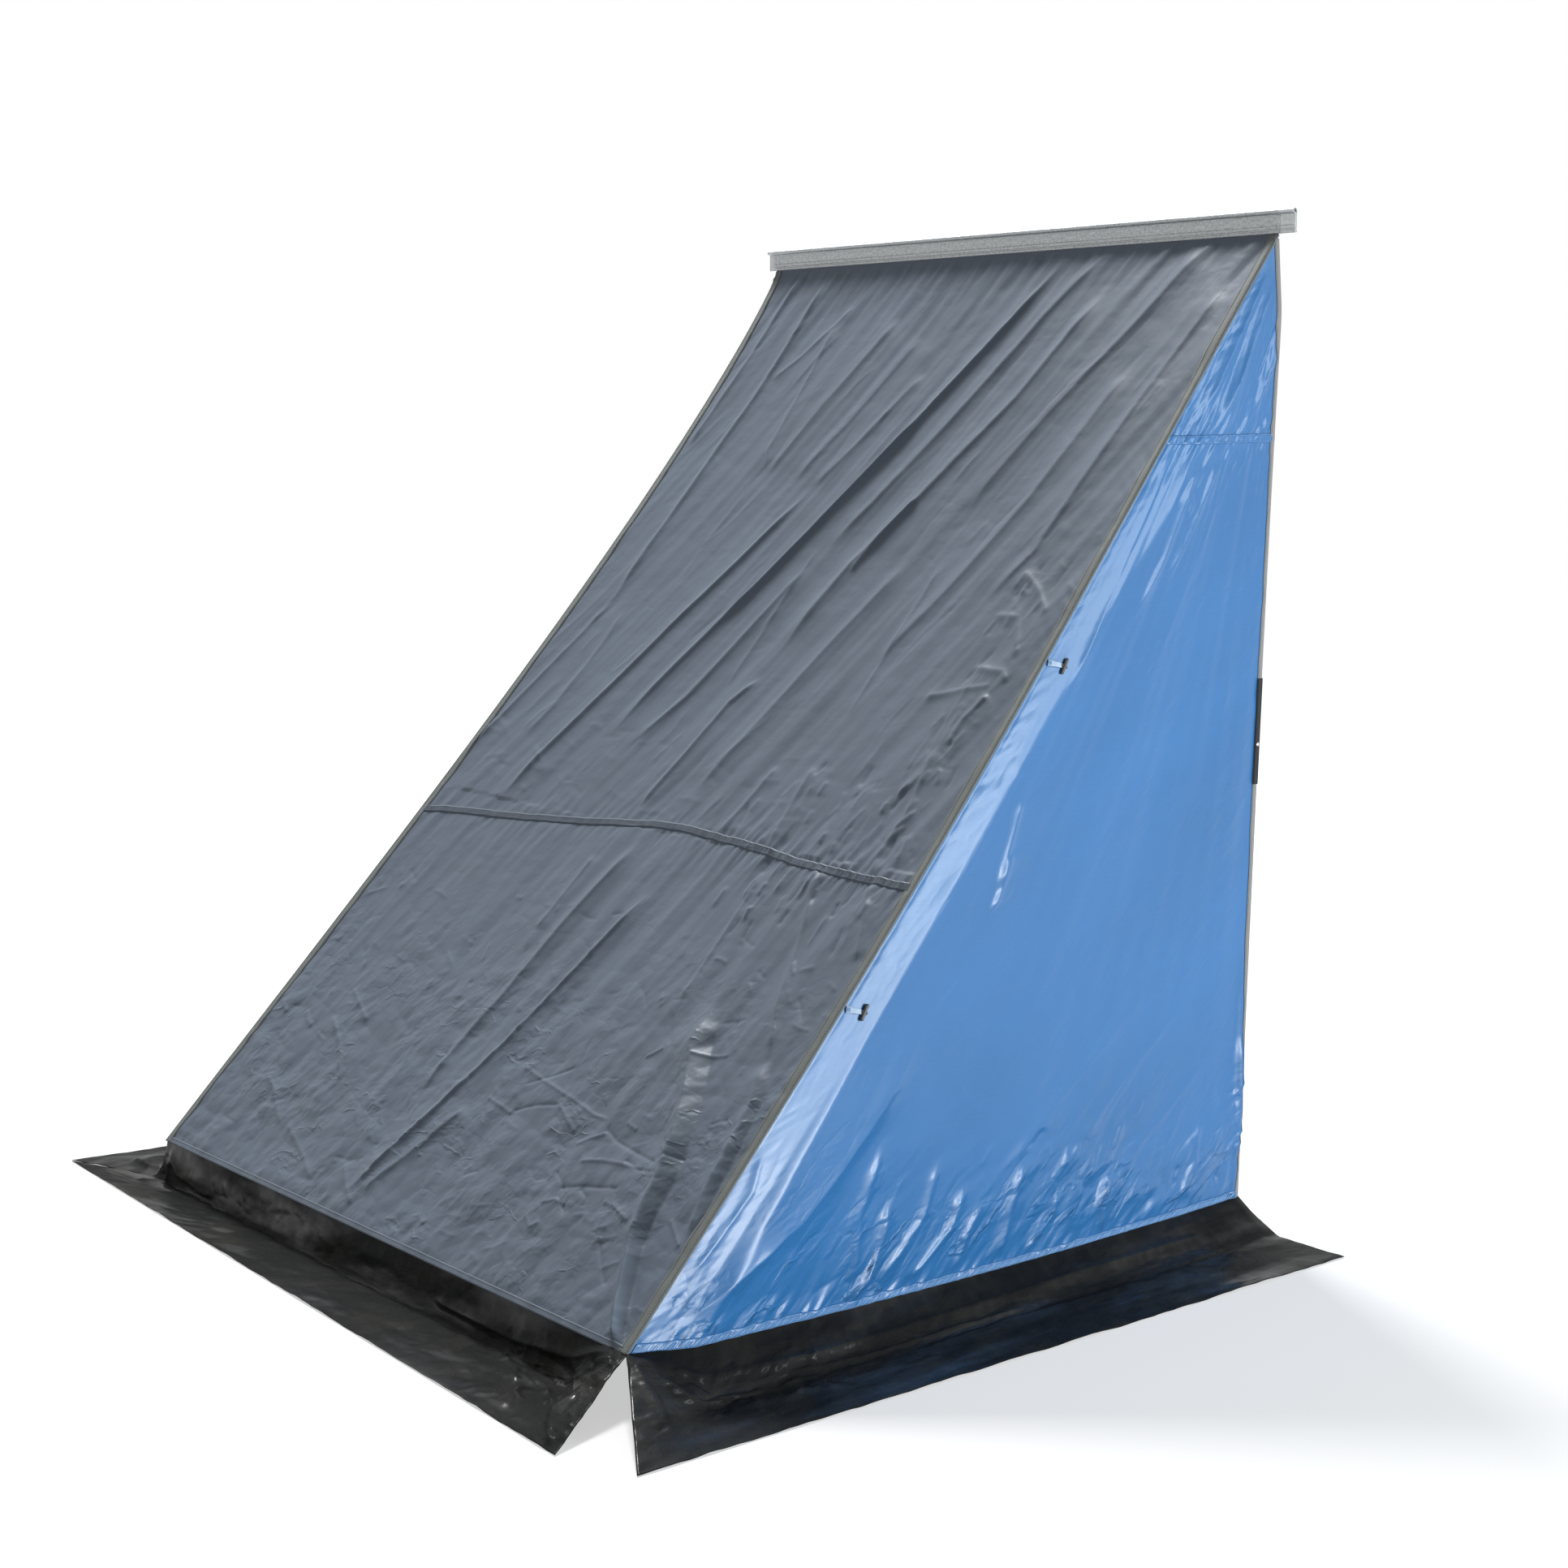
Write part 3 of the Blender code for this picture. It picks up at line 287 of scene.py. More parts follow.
def side_folds(side, t, reach, room):
    """Folds of one side's cloth, square to its plane."""
    drop = t * DROP
    seed = 11 if side.hand > 0 else 61
    height = drawn(reach, drop, SIDE_CREASES, 0.2)
    # A turned strip beside the roof's edge, and the flap that stands off the pole near the corner.
    gutter = step(drop, 0.30, 0.50) * step(1.62 - drop, 0, 0.25)
    gutter = gutter * (0.75 + 0.5 * gradient_noise(drop / 0.07, reach * 0 + 3.3, seed))
    height -= 0.0048 * gutter * np.exp(-(reach / 0.011) ** 2)
    edge = np.interp(drop, (1.42, 1.55, 1.65, 1.72, 1.80, 1.90),
                     (0.235, 0.240, 0.222, 0.200, 0.125, 0.08))
    wedge = np.where(reach < edge, np.clip((reach - 0.075) / np.maximum(edge - 0.075, 0.01), 0, 1),
                     np.exp(-np.abs(reach - edge) / 0.055))
    height += 0.013 * wedge * step(drop, 1.36, 1.56) * step(1.875 - drop, 0, 0.10)
    # Puckers along the gore's seam, the hem, the roof's edge and the bound edge.
    away = np.abs(drop - GORE_SEAM * DROP)
    height += 0.0034 * ripples(reach, away, seed + 1, 0.022, 0.050) * step(reach, 0.0, 0.02)
    height += 0.0050 * ripples(reach, np.abs(DROP - drop), seed + 3, 0.026, 0.050)
    height += 0.0007 * ripples(drop + reach * 0.6, reach, seed + 5, 0.016, 0.050)
    height += 0.0012 * ripples(drop, np.abs(room - reach), seed + 7, 0.045, 0.040)
    # Slow swell of the hung cloth, and folds that fan out from the apex.
    fan = reach / np.maximum(drop, 0.08)
    height += 0.0030 * gradient_noise(fan * 9 + 5, drop * 1.3, seed + 9) * step(drop, 0.05, 0.5)
    height += 0.0016 * gradient_noise(fan * 26, drop * 2.2, seed + 10) * step(drop, 0.05, 0.4)
    height += 0.0020 * gradient_noise(reach * 5, drop * 5, seed + 11)
    # Crushed cells and creases, in patches near the hem.
    bend = 0.4 * gradient_noise(reach * 9, drop * 9, seed + 12)
    crushed = facets(reach * 9 + bend, drop * 7 + bend, seed + 13)
    lively = 0.12 + 0.88 * step(gradient_noise(reach * 3.1, drop * 3.1, seed + 17), -0.08, 0.22)
    height += 0.0078 * crushed * (0.12 + step(drop, 1.50, 1.80) * 0.88) * lively
    crushed = facets(reach * 19 - bend, drop * 14 + bend, seed + 14)
    height += 0.0034 * crushed * (0.12 + step(drop, 1.58, 1.84) * 0.88) * lively
    height += scattered(reach, drop, seed + 15, 50, (0.02, 0.45, 1.3, 1.80), (0.0005, 0.0012),
                        (0.04, 0.12), (0.006, 0.010), 0.35, 0.9)
    height += scattered(reach, drop, seed + 18, 80, (0.05, 1.66, 1.5, 1.88), (0.0016, 0.0042),
                        (0.030, 0.100), (0.006, 0.012), 0.15, 0.7) * (0.3 + 0.7 * lively)
    # The band between the roof's edge and the pole is smoother.
    band = step(0.085 - reach, 0.0, 0.03)
    height += 0.0005 * facets(reach * 50 + bend, drop * 30 + bend, seed + 16) * band
    # A turned edge beside the rear binding, low down.
    height += 0.0070 * np.exp(-((room - reach - 0.017) / 0.010) ** 2) * step(drop, 1.36, 1.60)
    height *= 1 - 0.5 * step(0.090 - reach, 0.0, 0.03) * step(drop, 0.40, 0.60)
    fade = step(reach, 0.0, 0.010) * step(room - reach, 0.0, 0.014) * step(drop, 0.02, 0.12)
    hem = step(DROP - drop, 0.0, 0.012) * 0.7 + 0.3
    return height * fade * hem


ROOF_CREASES = (
    # depth, width, then points: x and the way down the slope; all in mm
    (6, 13, -690, 0, -715, 130, -740, 330, -765, 505),
    (8, 15, -580, 0, -610, 250, -620, 350, -645, 500, -670, 750, -680, 950),
    (5.5, 11, -675, 930, -710, 1030, -760, 1180, -800, 1300, -845, 1420),
    (3.5, 13, -615, 950, -610, 1030, -630, 1220, -660, 1310),
    (8.5, 13, -220, 600, -270, 700, -360, 880, -410, 980, -450, 1080, -500, 1200, -550, 1330,
     -600, 1490),
    (12, 17, 230, 0, 150, 180, 50, 370, 0, 470, -100, 660, -200, 870, -250, 960, -300, 1070,
     -360, 1220, -385, 1280),
    (4, 8, 50, 400, 0, 470, -100, 660, -200, 870, -250, 960),
    (7, 22, 345, 0, 250, 170, 140, 400, 20, 640, -50, 760),
    (11, 27, 400, 100, 300, 380, 220, 520, 120, 720, 70, 800, 0, 1020),
    (4.5, 9, 170, 620, 120, 720, 80, 820),
    (7, 24, 630, 0, 540, 200, 420, 430, 330, 660),
    (8, 22, 740, 100, 680, 380, 640, 600, 620, 750, 550, 880),
    (7, 26, 600, 300, 510, 630, 420, 850, 330, 1030),
    (5, 24, -240, 150, -350, 380, -410, 570),
    (5, 24, -130, 200, -220, 420, -300, 580),
    (5.5, 20, -50, 300, -160, 500, -220, 600),
    (3, 9, -465, 150, -460, 400, -455, 500, -420, 560),
    (3, 9, -430, 110, -540, 250, -600, 310),
    (2.8, 9, -75, 750, -90, 950, -100, 1120),
    (2.8, 9, 355, 780, 350, 950, 345, 1150),
    (7, 17, -70, 800, -130, 950, -200, 1150, -290, 1290),
    (6.5, 11, 0, 1080, -50, 1150, -100, 1350, -120, 1430),
    (4, 10, 230, 1280, 205, 1380, 185, 1450),
    (3.5, 10, 345, 1270, 350, 1360, 360, 1450),
    (5.5, 24, 250, 780, 150, 1000, 20, 1370),
    (4, 10, 630, 1020, 730, 1030, 760, 1055),
    (3.5, 10, 540, 1095, 630, 1075, 720, 1060),
    (5.5, 12, 730, 1080, 700, 1140, 700, 1200),
    (5, 12, 670, 1200, 700, 1350, 690, 1450, 720, 1500),
    (4, 12, 620, 800, 690, 840, 760, 900),
    (3.5, 12, 600, 900, 680, 905, 745, 1000),
    (8.5, 22, -40, 1500, -90, 1700, -120, 1920, -140, 2030, -155, 2170),
    (3.5, 12, -150, 1550, -160, 1650, -170, 1750),
    (10.5, 14, 100, 1600, 50, 1800, 0, 2000, -60, 2170, -120, 2340, -150, 2400),
    (7, 20, 30, 2140, -30, 2260, -100, 2380),
    (2.8, 9, 390, 1500, 400, 1660, 405, 1820),
    (8, 14, 540, 1470, 610, 1600, 690, 1780, 750, 1880),
    (4.5, 11, 720, 1500, 770, 1580, 810, 1660),
    (3, 9, -620, 1990, -550, 2020, -490, 2050),
    (3.4, 9, -620, 2060, -530, 2110, -430, 2190),
    (2.8, 8, -830, 2065, -800, 2080, -780, 2090),
    (2.8, 8, -720, 2070, -690, 2090, -660, 2100),
    (3.4, 9, -690, 2230, -620, 2260, -570, 2290, -520, 2320),
    (3.4, 10, -500, 2310, -340, 2370, -280, 2400),
    (4, 10, -220, 2340, -160, 2380, -100, 2410),
)
ROOF_TERRACES = (
    # the same, for folds that fall straight on their right side
    (22, 30, 500, 1800, 540, 1900, 603, 1980, 660, 2073, 688, 2150, 715, 2250, 758, 2320, 795, 2378,
     833, 2432, 880, 2500),
    (11, 18, 747, 1885, 785, 1965, 797, 2027, 809, 2086, 816, 2139, 832, 2195, 842, 2239),
)
ROOF_CRINKLES = (
    # points alone: crests and hollows by turns, towards the right front corner
    (89, 2029, 198, 2047, 293, 2060, 389, 2076, 446, 2077),
    (138, 2064, 212, 2025, 250, 1998),
    (58, 2113, 131, 2123, 160, 2128),
    (154, 2122, 213, 2097, 277, 2079),
    (277, 2079, 338, 2106, 370, 2121),
    (449, 2080, 458, 2096, 498, 2109, 547, 2115, 607, 2121, 654, 2127),
    (460, 2103, 417, 2128, 393, 2144),
    (557, 2137, 608, 2146, 678, 2142),
    (436, 2170, 496, 2152, 565, 2146, 625, 2142),
    (383, 2198, 419, 2210, 445, 2225, 496, 2209, 560, 2196, 597, 2191),
    (416, 2265, 447, 2250, 482, 2252),
    (439, 2220, 453, 2245, 499, 2269),
    (573, 2221, 618, 2224, 675, 2240),
    (490, 2214, 524, 2227, 531, 2246),
    (416, 1940, 456, 1913),
    (152, 2273, 187, 2253),
    (494, 2070, 534, 2078),
    (711, 2026, 749, 2007),
    (769, 2208, 812, 2234, 835, 2248),
    (643, 2116, 711, 2100),
    (551, 1912, 639, 1893),
    (623, 2285, 682, 2330, 721, 2359),
    (396, 2295, 432, 2314, 450, 2299),
)
ROOF_SCATTER = (
    # seed, count, area, depth, length, width, lean, spread
    (44, 240, (-0.82, 1.66, 0.84, 2.43), (0.0006, 0.0019), (0.02, 0.09), (0.004, 0.008), 1.2, 0.9),
    (45, 46, (-0.82, 1.25, 0.40, 1.47), (0.0006, 0.0016), (0.04, 0.12), (0.006, 0.010), 1.45, 0.35),
    (46, 60, (-0.78, 0.15, 0.78, 1.4), (0.0006, 0.0018), (0.08, 0.25), (0.006, 0.011), -0.38, 0.25),
    (47, 26, (0.60, 0.70, 0.80, 1.50), (0.0006, 0.0016), (0.03, 0.08), (0.005, 0.008), 0.9, 0.6),
    (48, 60, (0.60, 0.80, 0.74, 1.52), (0.0008, 0.0022), (0.03, 0.10), (0.005, 0.009), -0.16, 0.30),
    (49, 40, (0.20, 1.26, 0.76, 1.46), (0.0014, 0.0034), (0.03, 0.08), (0.005, 0.008), -0.05, 0.55),
    (50, 26, (0.30, 1.50, 0.80, 1.66), (0.0014, 0.0034), (0.03, 0.09), (0.005, 0.009), 0.05, 0.25),
)
SEAM_PATH = ((-0.86, -0.75, -0.5, -0.25, -0.05, 0.0, 0.1, 0.3, 0.5, 0.7, 0.86),
             (1.545, 1.525, 1.505, 1.48, 1.457, 1.451, 1.455, 1.465, 1.485, 1.495, 1.50))


def cross_seam(x):
    """How far down the slope the cross seam lies at a place across."""
    smooth = sum(np.interp(x + shift, *SEAM_PATH) for shift in (-0.05, -0.025, 0, 0.025, 0.05)) / 5
    return smooth + 0.0025 * gradient_noise(x / 0.06, x * 0 + 0.5, 5)


def roof_folds(x, s):
    """Folds of the roof, square to its slope."""
    height = drawn(x, s, ROOF_CREASES)
    for depth, width, *line in ROOF_TERRACES:
        wide = width / 1000 * (1 + 0.4 * gradient_noise(s * 5, x * 3, 51))
        wide = wide * np.interp(s, (2.0, 2.4), (1.1, 0.55))
        points = np.reshape(line, (-1, 2)) / 1000
        height += crease(x, s, points, depth / 1000, wide, terrace=True)
    height += drawn(x, s, [((2.4, -2.4)[number % 2], 4, *line)
                           for number, line in enumerate(ROOF_CRINKLES)], 0.08)
    # Tension folds that run from the rail down to the left, in three sizes.
    lean = np.where(s < 1.47, 0.40, 0.22)
    across = x + lean * s
    strong = 0.45 + 0.55 * step(x, -0.35, 0.15)
    height += 0.0052 * gradient_noise(across * 7.5, s * 1.1, 21) * strong
    height += 0.0034 * gradient_noise(across * 17, s * 1.5, 22) * strong
    height += 0.0012 * gradient_noise(across * 36, s * 2.0, 23)
    # Gathers under the band, puckers along the seam, the diagonal edges and the hem.
    height += 0.0042 * ripples(x + 0.3 * s, s, 31, 0.034, 0.110)
    away = np.abs(s - cross_seam(x))
    pucker = 0.0022 + 0.0030 * step(x, 0.0, 0.5)
    height += pucker * ripples(x + 0.25 * s, away, 33, 0.022, 0.050)
    edge = APEX_OUT + (CORNER_OUT - APEX_OUT) * s / SLOPE_LENGTH
    right = ripples(s - 0.85 * x, np.abs(edge - x), 35, 0.026, 0.040)
    height += 0.0016 * right * step(s, 0.05, 0.6)
    height += 0.0018 * ripples(s + 0.5 * x, np.abs(edge + x), 37, 0.045, 0.040)
    height += 0.0026 * ripples(x, np.abs(SLOPE_LENGTH - s), 39, 0.050, 0.050)
    # Crushed cells, mostly on the lower panel, and small creases.
    low = 0.22 + 0.78 * step(s, 1.65, 2.1)
    bend = 0.5 * gradient_noise(x * 7, s * 7, 41)
    height += 0.0038 * facets(x * 8 + bend, s * 9 + bend, 42) * low
    height += 0.0017 * facets(x * 17 - bend, s * 20 + bend, 43) * low
    for row in ROOF_SCATTER:
        height += scattered(x, s, *row)
    seam_flat = 1 - 0.6 * np.exp(-(away / 0.012) ** 2)
    hem = 0.25 + 0.75 * step(SLOPE_LENGTH - s, 0.0, 0.03)
    return height * seam_flat * step(s, 0.0, 0.03) * hem


RIGHT, LEFT = Side(1), Side(-1)


def roof_flat(u, s):
    """The roof's plane and its sag, at u from -1 (left edge) to 1 and s metres down the slope."""
    u, s = np.broadcast_arrays(np.asarray(u, float), np.asarray(s, float))
    t = s / SLOPE_LENGTH
    left, right = LEFT.seam(np.maximum(t, 0)), RIGHT.seam(np.maximum(t, 0))
    flat = left + (right - left) * ((u + 1) / 2)[..., None]
    return flat, ROOF_SAG * np.sin(np.pi * np.clip(t, 0, 1)) * (1 - u * u)


def roof_point(u, s, lift=0.0):
    """A point of the folded roof; above the slope's top it stands against the wall."""
    flat, sag = roof_flat(u, s)
    s = np.broadcast_to(np.asarray(s, float), sag.shape)
    fade = step(1 - np.abs(u), 0.0, 0.030) * 0.97 + 0.03
    height = roof_folds(flat[..., 0], np.maximum(s, 0)) * fade - sag + lift
    points = flat + ROOF_NORMAL * height[..., None]
    above = np.clip(-s, 0, None)
    points[..., 2] += above
    under_band = points[..., 1] - 0.0012 * (1 - step(s, 0, 0.02))
    points[..., 1] = np.where(above > 0, WALL - 0.0021, under_band)
    return points


def roof_x(u):
    """How far across the roof u lies, near the cross seam."""
    return roof_flat(u, np.full(u.shape, 1.48))[0][:, 0]


def seam_line(u):
    return cross_seam(roof_x(u))


# Meshes.
def make_object(name, points, faces, paint, cut=None):
    """A smooth mesh; cut holds the flat cloth's coordinates, which the paints read."""
    mesh = bpy.data.meshes.new(name)
    mesh.from_pydata(points.tolist(), [], faces)
    if cut is not None:
        flat = np.zeros((len(points), 3), np.float32)
        flat[:, :2] = cut
        vectors = mesh.attributes.new("cut", "FLOAT_VECTOR", "POINT").data
        vectors.foreach_set("vector", flat.ravel())
    mesh.shade_smooth()
    mesh.materials.append(paint)
    piece = bpy.data.objects.new(name, mesh)
    bpy.context.scene.collection.objects.link(piece)
    return piece


def cloth_object(name, points, cut, paint, outward, thickness):
    """A cloth grid, its front turned to the outward way, with a thickness where its edge shows.

    cut is how far across and down the flat cloth its points lie."""
    points = np.asarray(points)
    rows, columns = points.shape[:2]
    middle = points[rows // 2, columns // 2]
    run = points[rows // 2, min(columns // 2 + 1, columns - 1)] - middle
    rise = points[min(rows // 2 + 1, rows - 1), columns // 2] - middle
    index = np.arange(rows * columns).reshape(rows, columns)
    corners = [index[:-1, :-1], index[:-1, 1:], index[1:, 1:], index[1:, :-1]]
    quads = np.stack(corners, -1).reshape(-1, 4)
    if np.cross(run, rise) @ np.asarray(outward) < 0:
        quads = quads[:, ::-1]
    cut = np.stack(np.broadcast_arrays(*cut), -1).reshape(-1, 2)
    piece = make_object(name, points.reshape(-1, 3), quads.tolist(), paint, cut)
    if thickness:
        solid = piece.modifiers.new("thickness", "SOLIDIFY")
        solid.thickness = thickness
        solid.offset = 0.0
        solid.use_even_offset = False
    return piece


def stands_for(piece, node):
    """Hides the frame's node that a piece replaces."""
    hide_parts(node)
    return piece


def threads(name, rows, radius, paint, sides=5):
    """Stitches that lie on the cloth: short bowed threads. Each row has their starts, their ends
    and the way up."""
    rows = [(start, end, np.broadcast_to(up, start.shape)) for start, end, up in rows]
    starts, ends, ups = (np.concatenate(parts) for parts in zip(*rows))
    way = ends - starts
    way /= np.maximum(np.linalg.norm(way, axis=1, keepdims=True), 1e-9)
    ups = ups / np.linalg.norm(ups, axis=1, keepdims=True)
    beside = np.cross(way, ups)
    angles = np.arange(sides) * 2 * math.pi / sides
    rings = []
    for share, size, rise in ((0, 0.45, -0.5), (0.25, 1, 0.55), (0.75, 1, 0.55), (1, 0.45, -0.5)):
        centre = starts + (ends - starts) * share + ups * radius * rise
        around = (beside[:, None, :] * np.cos(angles)[None, :, None]
                  + ups[:, None, :] * np.sin(angles)[None, :, None])
        rings.append(centre[:, None, :] + radius * size * around)
    base = np.arange(len(starts))[:, None] * len(rings) * sides
    faces = []
    for ring in range(len(rings) - 1):
        for k in range(sides):
            a, b = base + ring * sides + k, base + ring * sides + (k + 1) % sides
            faces.append(np.concatenate([a, b, b + sides, a + sides], 1))
    points = np.stack(rings, 1).reshape(-1, 3)
    return make_object(name, points, np.concatenate(faces).tolist(), paint)


def stitch_row(path, up, gap, length):
    """One row of even stitches along a path of points."""
    lengths = np.concatenate([[0], np.cumsum(np.linalg.norm(np.diff(path, axis=0), axis=1))])
    begin = np.arange(gap / 2, lengths[-1] - length, gap)

    def at(where):
        return np.stack([np.interp(where, lengths, path[:, k]) for k in range(3)], 1)

    return at(begin), at(begin + length), up


# Materials.
class Nodes:
    """Adds nodes to one tree."""

    def __init__(self, tree):
        self.tree = tree

    def node(self, kind, inputs, **settings):
        item = self.tree.nodes.new("ShaderNode" + kind)
        for key, value in settings.items():
            setattr(item, key, value)
        for key, value in inputs.items():
            if isinstance(value, bpy.types.NodeSocket):
                self.tree.links.new(value, item.inputs[key])
            else:
                item.inputs[key].default_value = value
        return item.outputs

    def math(self, operation, first, second):
        return self.node("Math", {0: first, 1: second}, operation=operation)["Value"]

    def span(self, value, low, high, to_low=0.0, to_high=1.0):
        return self.node("MapRange", {"Value": value, "From Min": low, "From Max": high,
                                      "To Min": to_low, "To Max": to_high})["Result"]

    def looked_at(self):
        """1 for camera, glossy and transmission rays, 0 for the light that falls on things."""
        rays = self.node("LightPath", {})
        seen = self.math("MAXIMUM", rays["Is Camera Ray"], rays["Is Glossy Ray"])
        return self.math("MAXIMUM", seen, rays["Is Transmission Ray"])


class Paint(Nodes):
    """A procedural material around one Principled shader."""

    def __init__(self, name, color, roughness, **sockets):
        self.material = bpy.data.materials.new(name)
        self.material.use_nodes = True
        super().__init__(self.material.node_tree)
        self.shader = self.tree.nodes["Principled BSDF"]
        self.shader.inputs["Base Color"].default_value = (*color, 1)
        self.shader.inputs["Roughness"].default_value = roughness
        for key, value in sockets.items():
            self.shader.inputs[key.replace("_", " ")].default_value = value
        self.normal = None

    def cut(self, turn=0.0):
        """The flat cloth's coordinates, turned by an angle."""
        base = self.node("Attribute", {}, attribute_name="cut")["Vector"]
        return self.node("Mapping", {"Vector": base, "Rotation": (0, 0, turn)})["Vector"]

    def place(self):
        return self.node("TexCoord", {})["Object"]

    def scaled(self, vector, *scale):
        return self.node("Mapping", {"Vector": vector, "Scale": scale})["Vector"]

    def noise(self, vector, scale, detail=2.0, rough=0.5, distortion=0.0):
        return self.node("TexNoise", {"Vector": vector, "Scale": scale, "Detail": detail,
                                      "Roughness": rough, "Distortion": distortion})["Fac"]

    def cells(self, vector, scale, feature="F1"):
        inputs = {"Vector": vector, "Scale": scale}
        return self.node("TexVoronoi", inputs, feature=feature)["Distance"]

    def waves(self, vector, scale, distortion, bands="X", detail=1.0):
        return self.node("TexWave", {"Vector": vector, "Scale": scale, "Distortion": distortion,
                                     "Detail": detail}, bands_direction=bands)["Fac"]

    def mix(self, share, first, second):
        return self.node("Mix", {0: share, 6: (*first, 1), 7: (*second, 1)}, data_type="RGBA")[2]

    def mean(self, first, second, share):
        """A weighted mean, where share is the first one's weight."""
        return self.math("ADD", self.math("MULTIPLY", first, share),
                         self.math("MULTIPLY", second, 1 - share))

    def bump(self, height, distance):
        inputs = {"Height": height, "Distance": distance}
        if self.normal is not None:
            inputs["Normal"] = self.normal
        self.normal = self.node("Bump", inputs)["Normal"]

    def link(self, socket, value):
        self.tree.links.new(value, self.shader.inputs[socket])

    def tint(self, tone, low, high, first, second):
        self.link("Base Color", self.mix(self.span(tone, low, high), first, second))

    def done(self):
        self.link("Normal", self.normal)
        return self.material


def shade(color, factor):
    return tuple(min(channel * factor, 1.0) for channel in color)


def coated_cloth(name, color, roughness, lean, crumple, crushed, **sockets):
    """Coated polyester: plain weave, slub streaks and fine wrinkles that lean with the folds.

    crushed is the drop where the crushed zone starts and where it is full, its cells' scale and
    its depth."""
    paint = Paint(name, color, roughness, **sockets)
    cut, leaning = paint.cut(), paint.cut(lean)
    streaks = paint.noise(paint.scaled(leaning, 34, 5, 1), 1.0, 4, 0.6, 0.25)
    blotch = paint.noise(cut, 3.2, 3)
    broken = paint.cells(paint.scaled(leaning, 30, 19, 1), 1.0)
    small = paint.cells(paint.scaled(leaning, 74, 52, 1), 1.0)
    paint.bump(streaks, 0.0008 * crumple)
    low, high, scale, depth = crushed
    down = paint.node("SeparateXYZ", {"Vector": cut})["Y"]
    zone = paint.span(down, low, high, 0.22, 1.0)
    near = paint.math("MULTIPLY", zone, paint.span(paint.noise(cut, 7.0, 2), 0.40, 0.58))
    patch = paint.math("MULTIPLY", paint.span(paint.noise(cut, 5.0, 2), 0.42, 0.66), zone)
    shift = paint.node("TexNoise", {"Vector": cut, "Scale": 22.0})["Color"]
    bent = {0: paint.scaled(cut, *scale), 1: shift}
    bent = paint.node("VectorMath", bent, operation="ADD")["Vector"]
    crush = paint.math("SUBTRACT", paint.cells(bent, 1.0, "F2"), paint.cells(bent, 1.0))
    paint.bump(paint.math("MULTIPLY", crush, near), depth)
    sharp = paint.math("MULTIPLY", paint.noise(cut, 31.0, 2), near)
    lines = paint.span(paint.cells(bent, 0.7, "DISTANCE_TO_EDGE"), 0.0, 0.07, 1.0, 0.0)
    paint.bump(paint.math("MULTIPLY", lines, paint.span(sharp, 0.40, 0.60)), depth * 0.55)
    paint.bump(paint.math("MULTIPLY", broken, patch), 0.0030 * crumple)
    paint.bump(paint.math("MULTIPLY", small, patch), 0.0011 * crumple)
    warp, weft = (paint.waves(cut, 300.0, 0.6, bands) for bands in "XY")
    paint.bump(paint.math("MULTIPLY", warp, weft), 0.00003)
    slub = paint.noise(paint.scaled(cut, 14, 900, 1), 1.0, 2)
    paint.tint(paint.mean(blotch, slub, 0.6), 0.30, 0.70, shade(color, 0.90), shade(color, 1.10))
    paint.link("Roughness", paint.span(blotch, 0.3, 0.7, roughness - 0.04, roughness + 0.05))
    return paint.done()


def woven_tape(name, color, period, roughness=0.7):
    """Narrow woven tape with diagonal ribs a period apart."""
    paint = Paint(name, color, roughness)
    ribs = paint.waves(paint.cut(0.7), 0.314 / period, 1.0)
    fuzz = paint.noise(paint.cut(), 420.0, 3)
    paint.bump(ribs, 0.00010)
    paint.bump(fuzz, 0.00015)
    paint.tint(paint.mean(ribs, fuzz, 0.35), 0.2, 0.8, shade(color, 0.82), shade(color, 1.18))
    return paint.done()


def moulded(name, color, roughness, grain=900.0):
    """Moulded plastic or rubber with a fine grain and rubbed patches."""
    paint = Paint(name, color, roughness)
    place = paint.place()
    rubbed = paint.noise(place, 35.0, 4)
    paint.bump(paint.noise(place, grain, 3), 0.00006)
    paint.link("Roughness", paint.span(rubbed, 0.3, 0.7, roughness - 0.08, roughness + 0.10))
    paint.tint(rubbed, 0.35, 0.75, shade(color, 0.85), shade(color, 1.5))
    return paint.done()


def drawn_metal(name, color, roughness, scratches):
    """Drawn tube: fine lines along it, a few darker smears."""
    paint = Paint(name, color, roughness, Metallic=1.0)
    place = paint.place()
    along_pole = paint.node("Mapping", {"Vector": place, "Rotation": (-0.87, 0, 0),
                                        "Scale": (900, 900, 4)})["Vector"]
    smear = paint.noise(place, 9.0, 4)
    paint.bump(paint.noise(along_pole, 1.0, 2), scratches)
    paint.link("Roughness", paint.span(smear, 0.3, 0.7, roughness - 0.06, roughness + 0.14))
    paint.tint(smear, 0.3, 0.75, shade(color, 0.8), color)
    return paint.done()


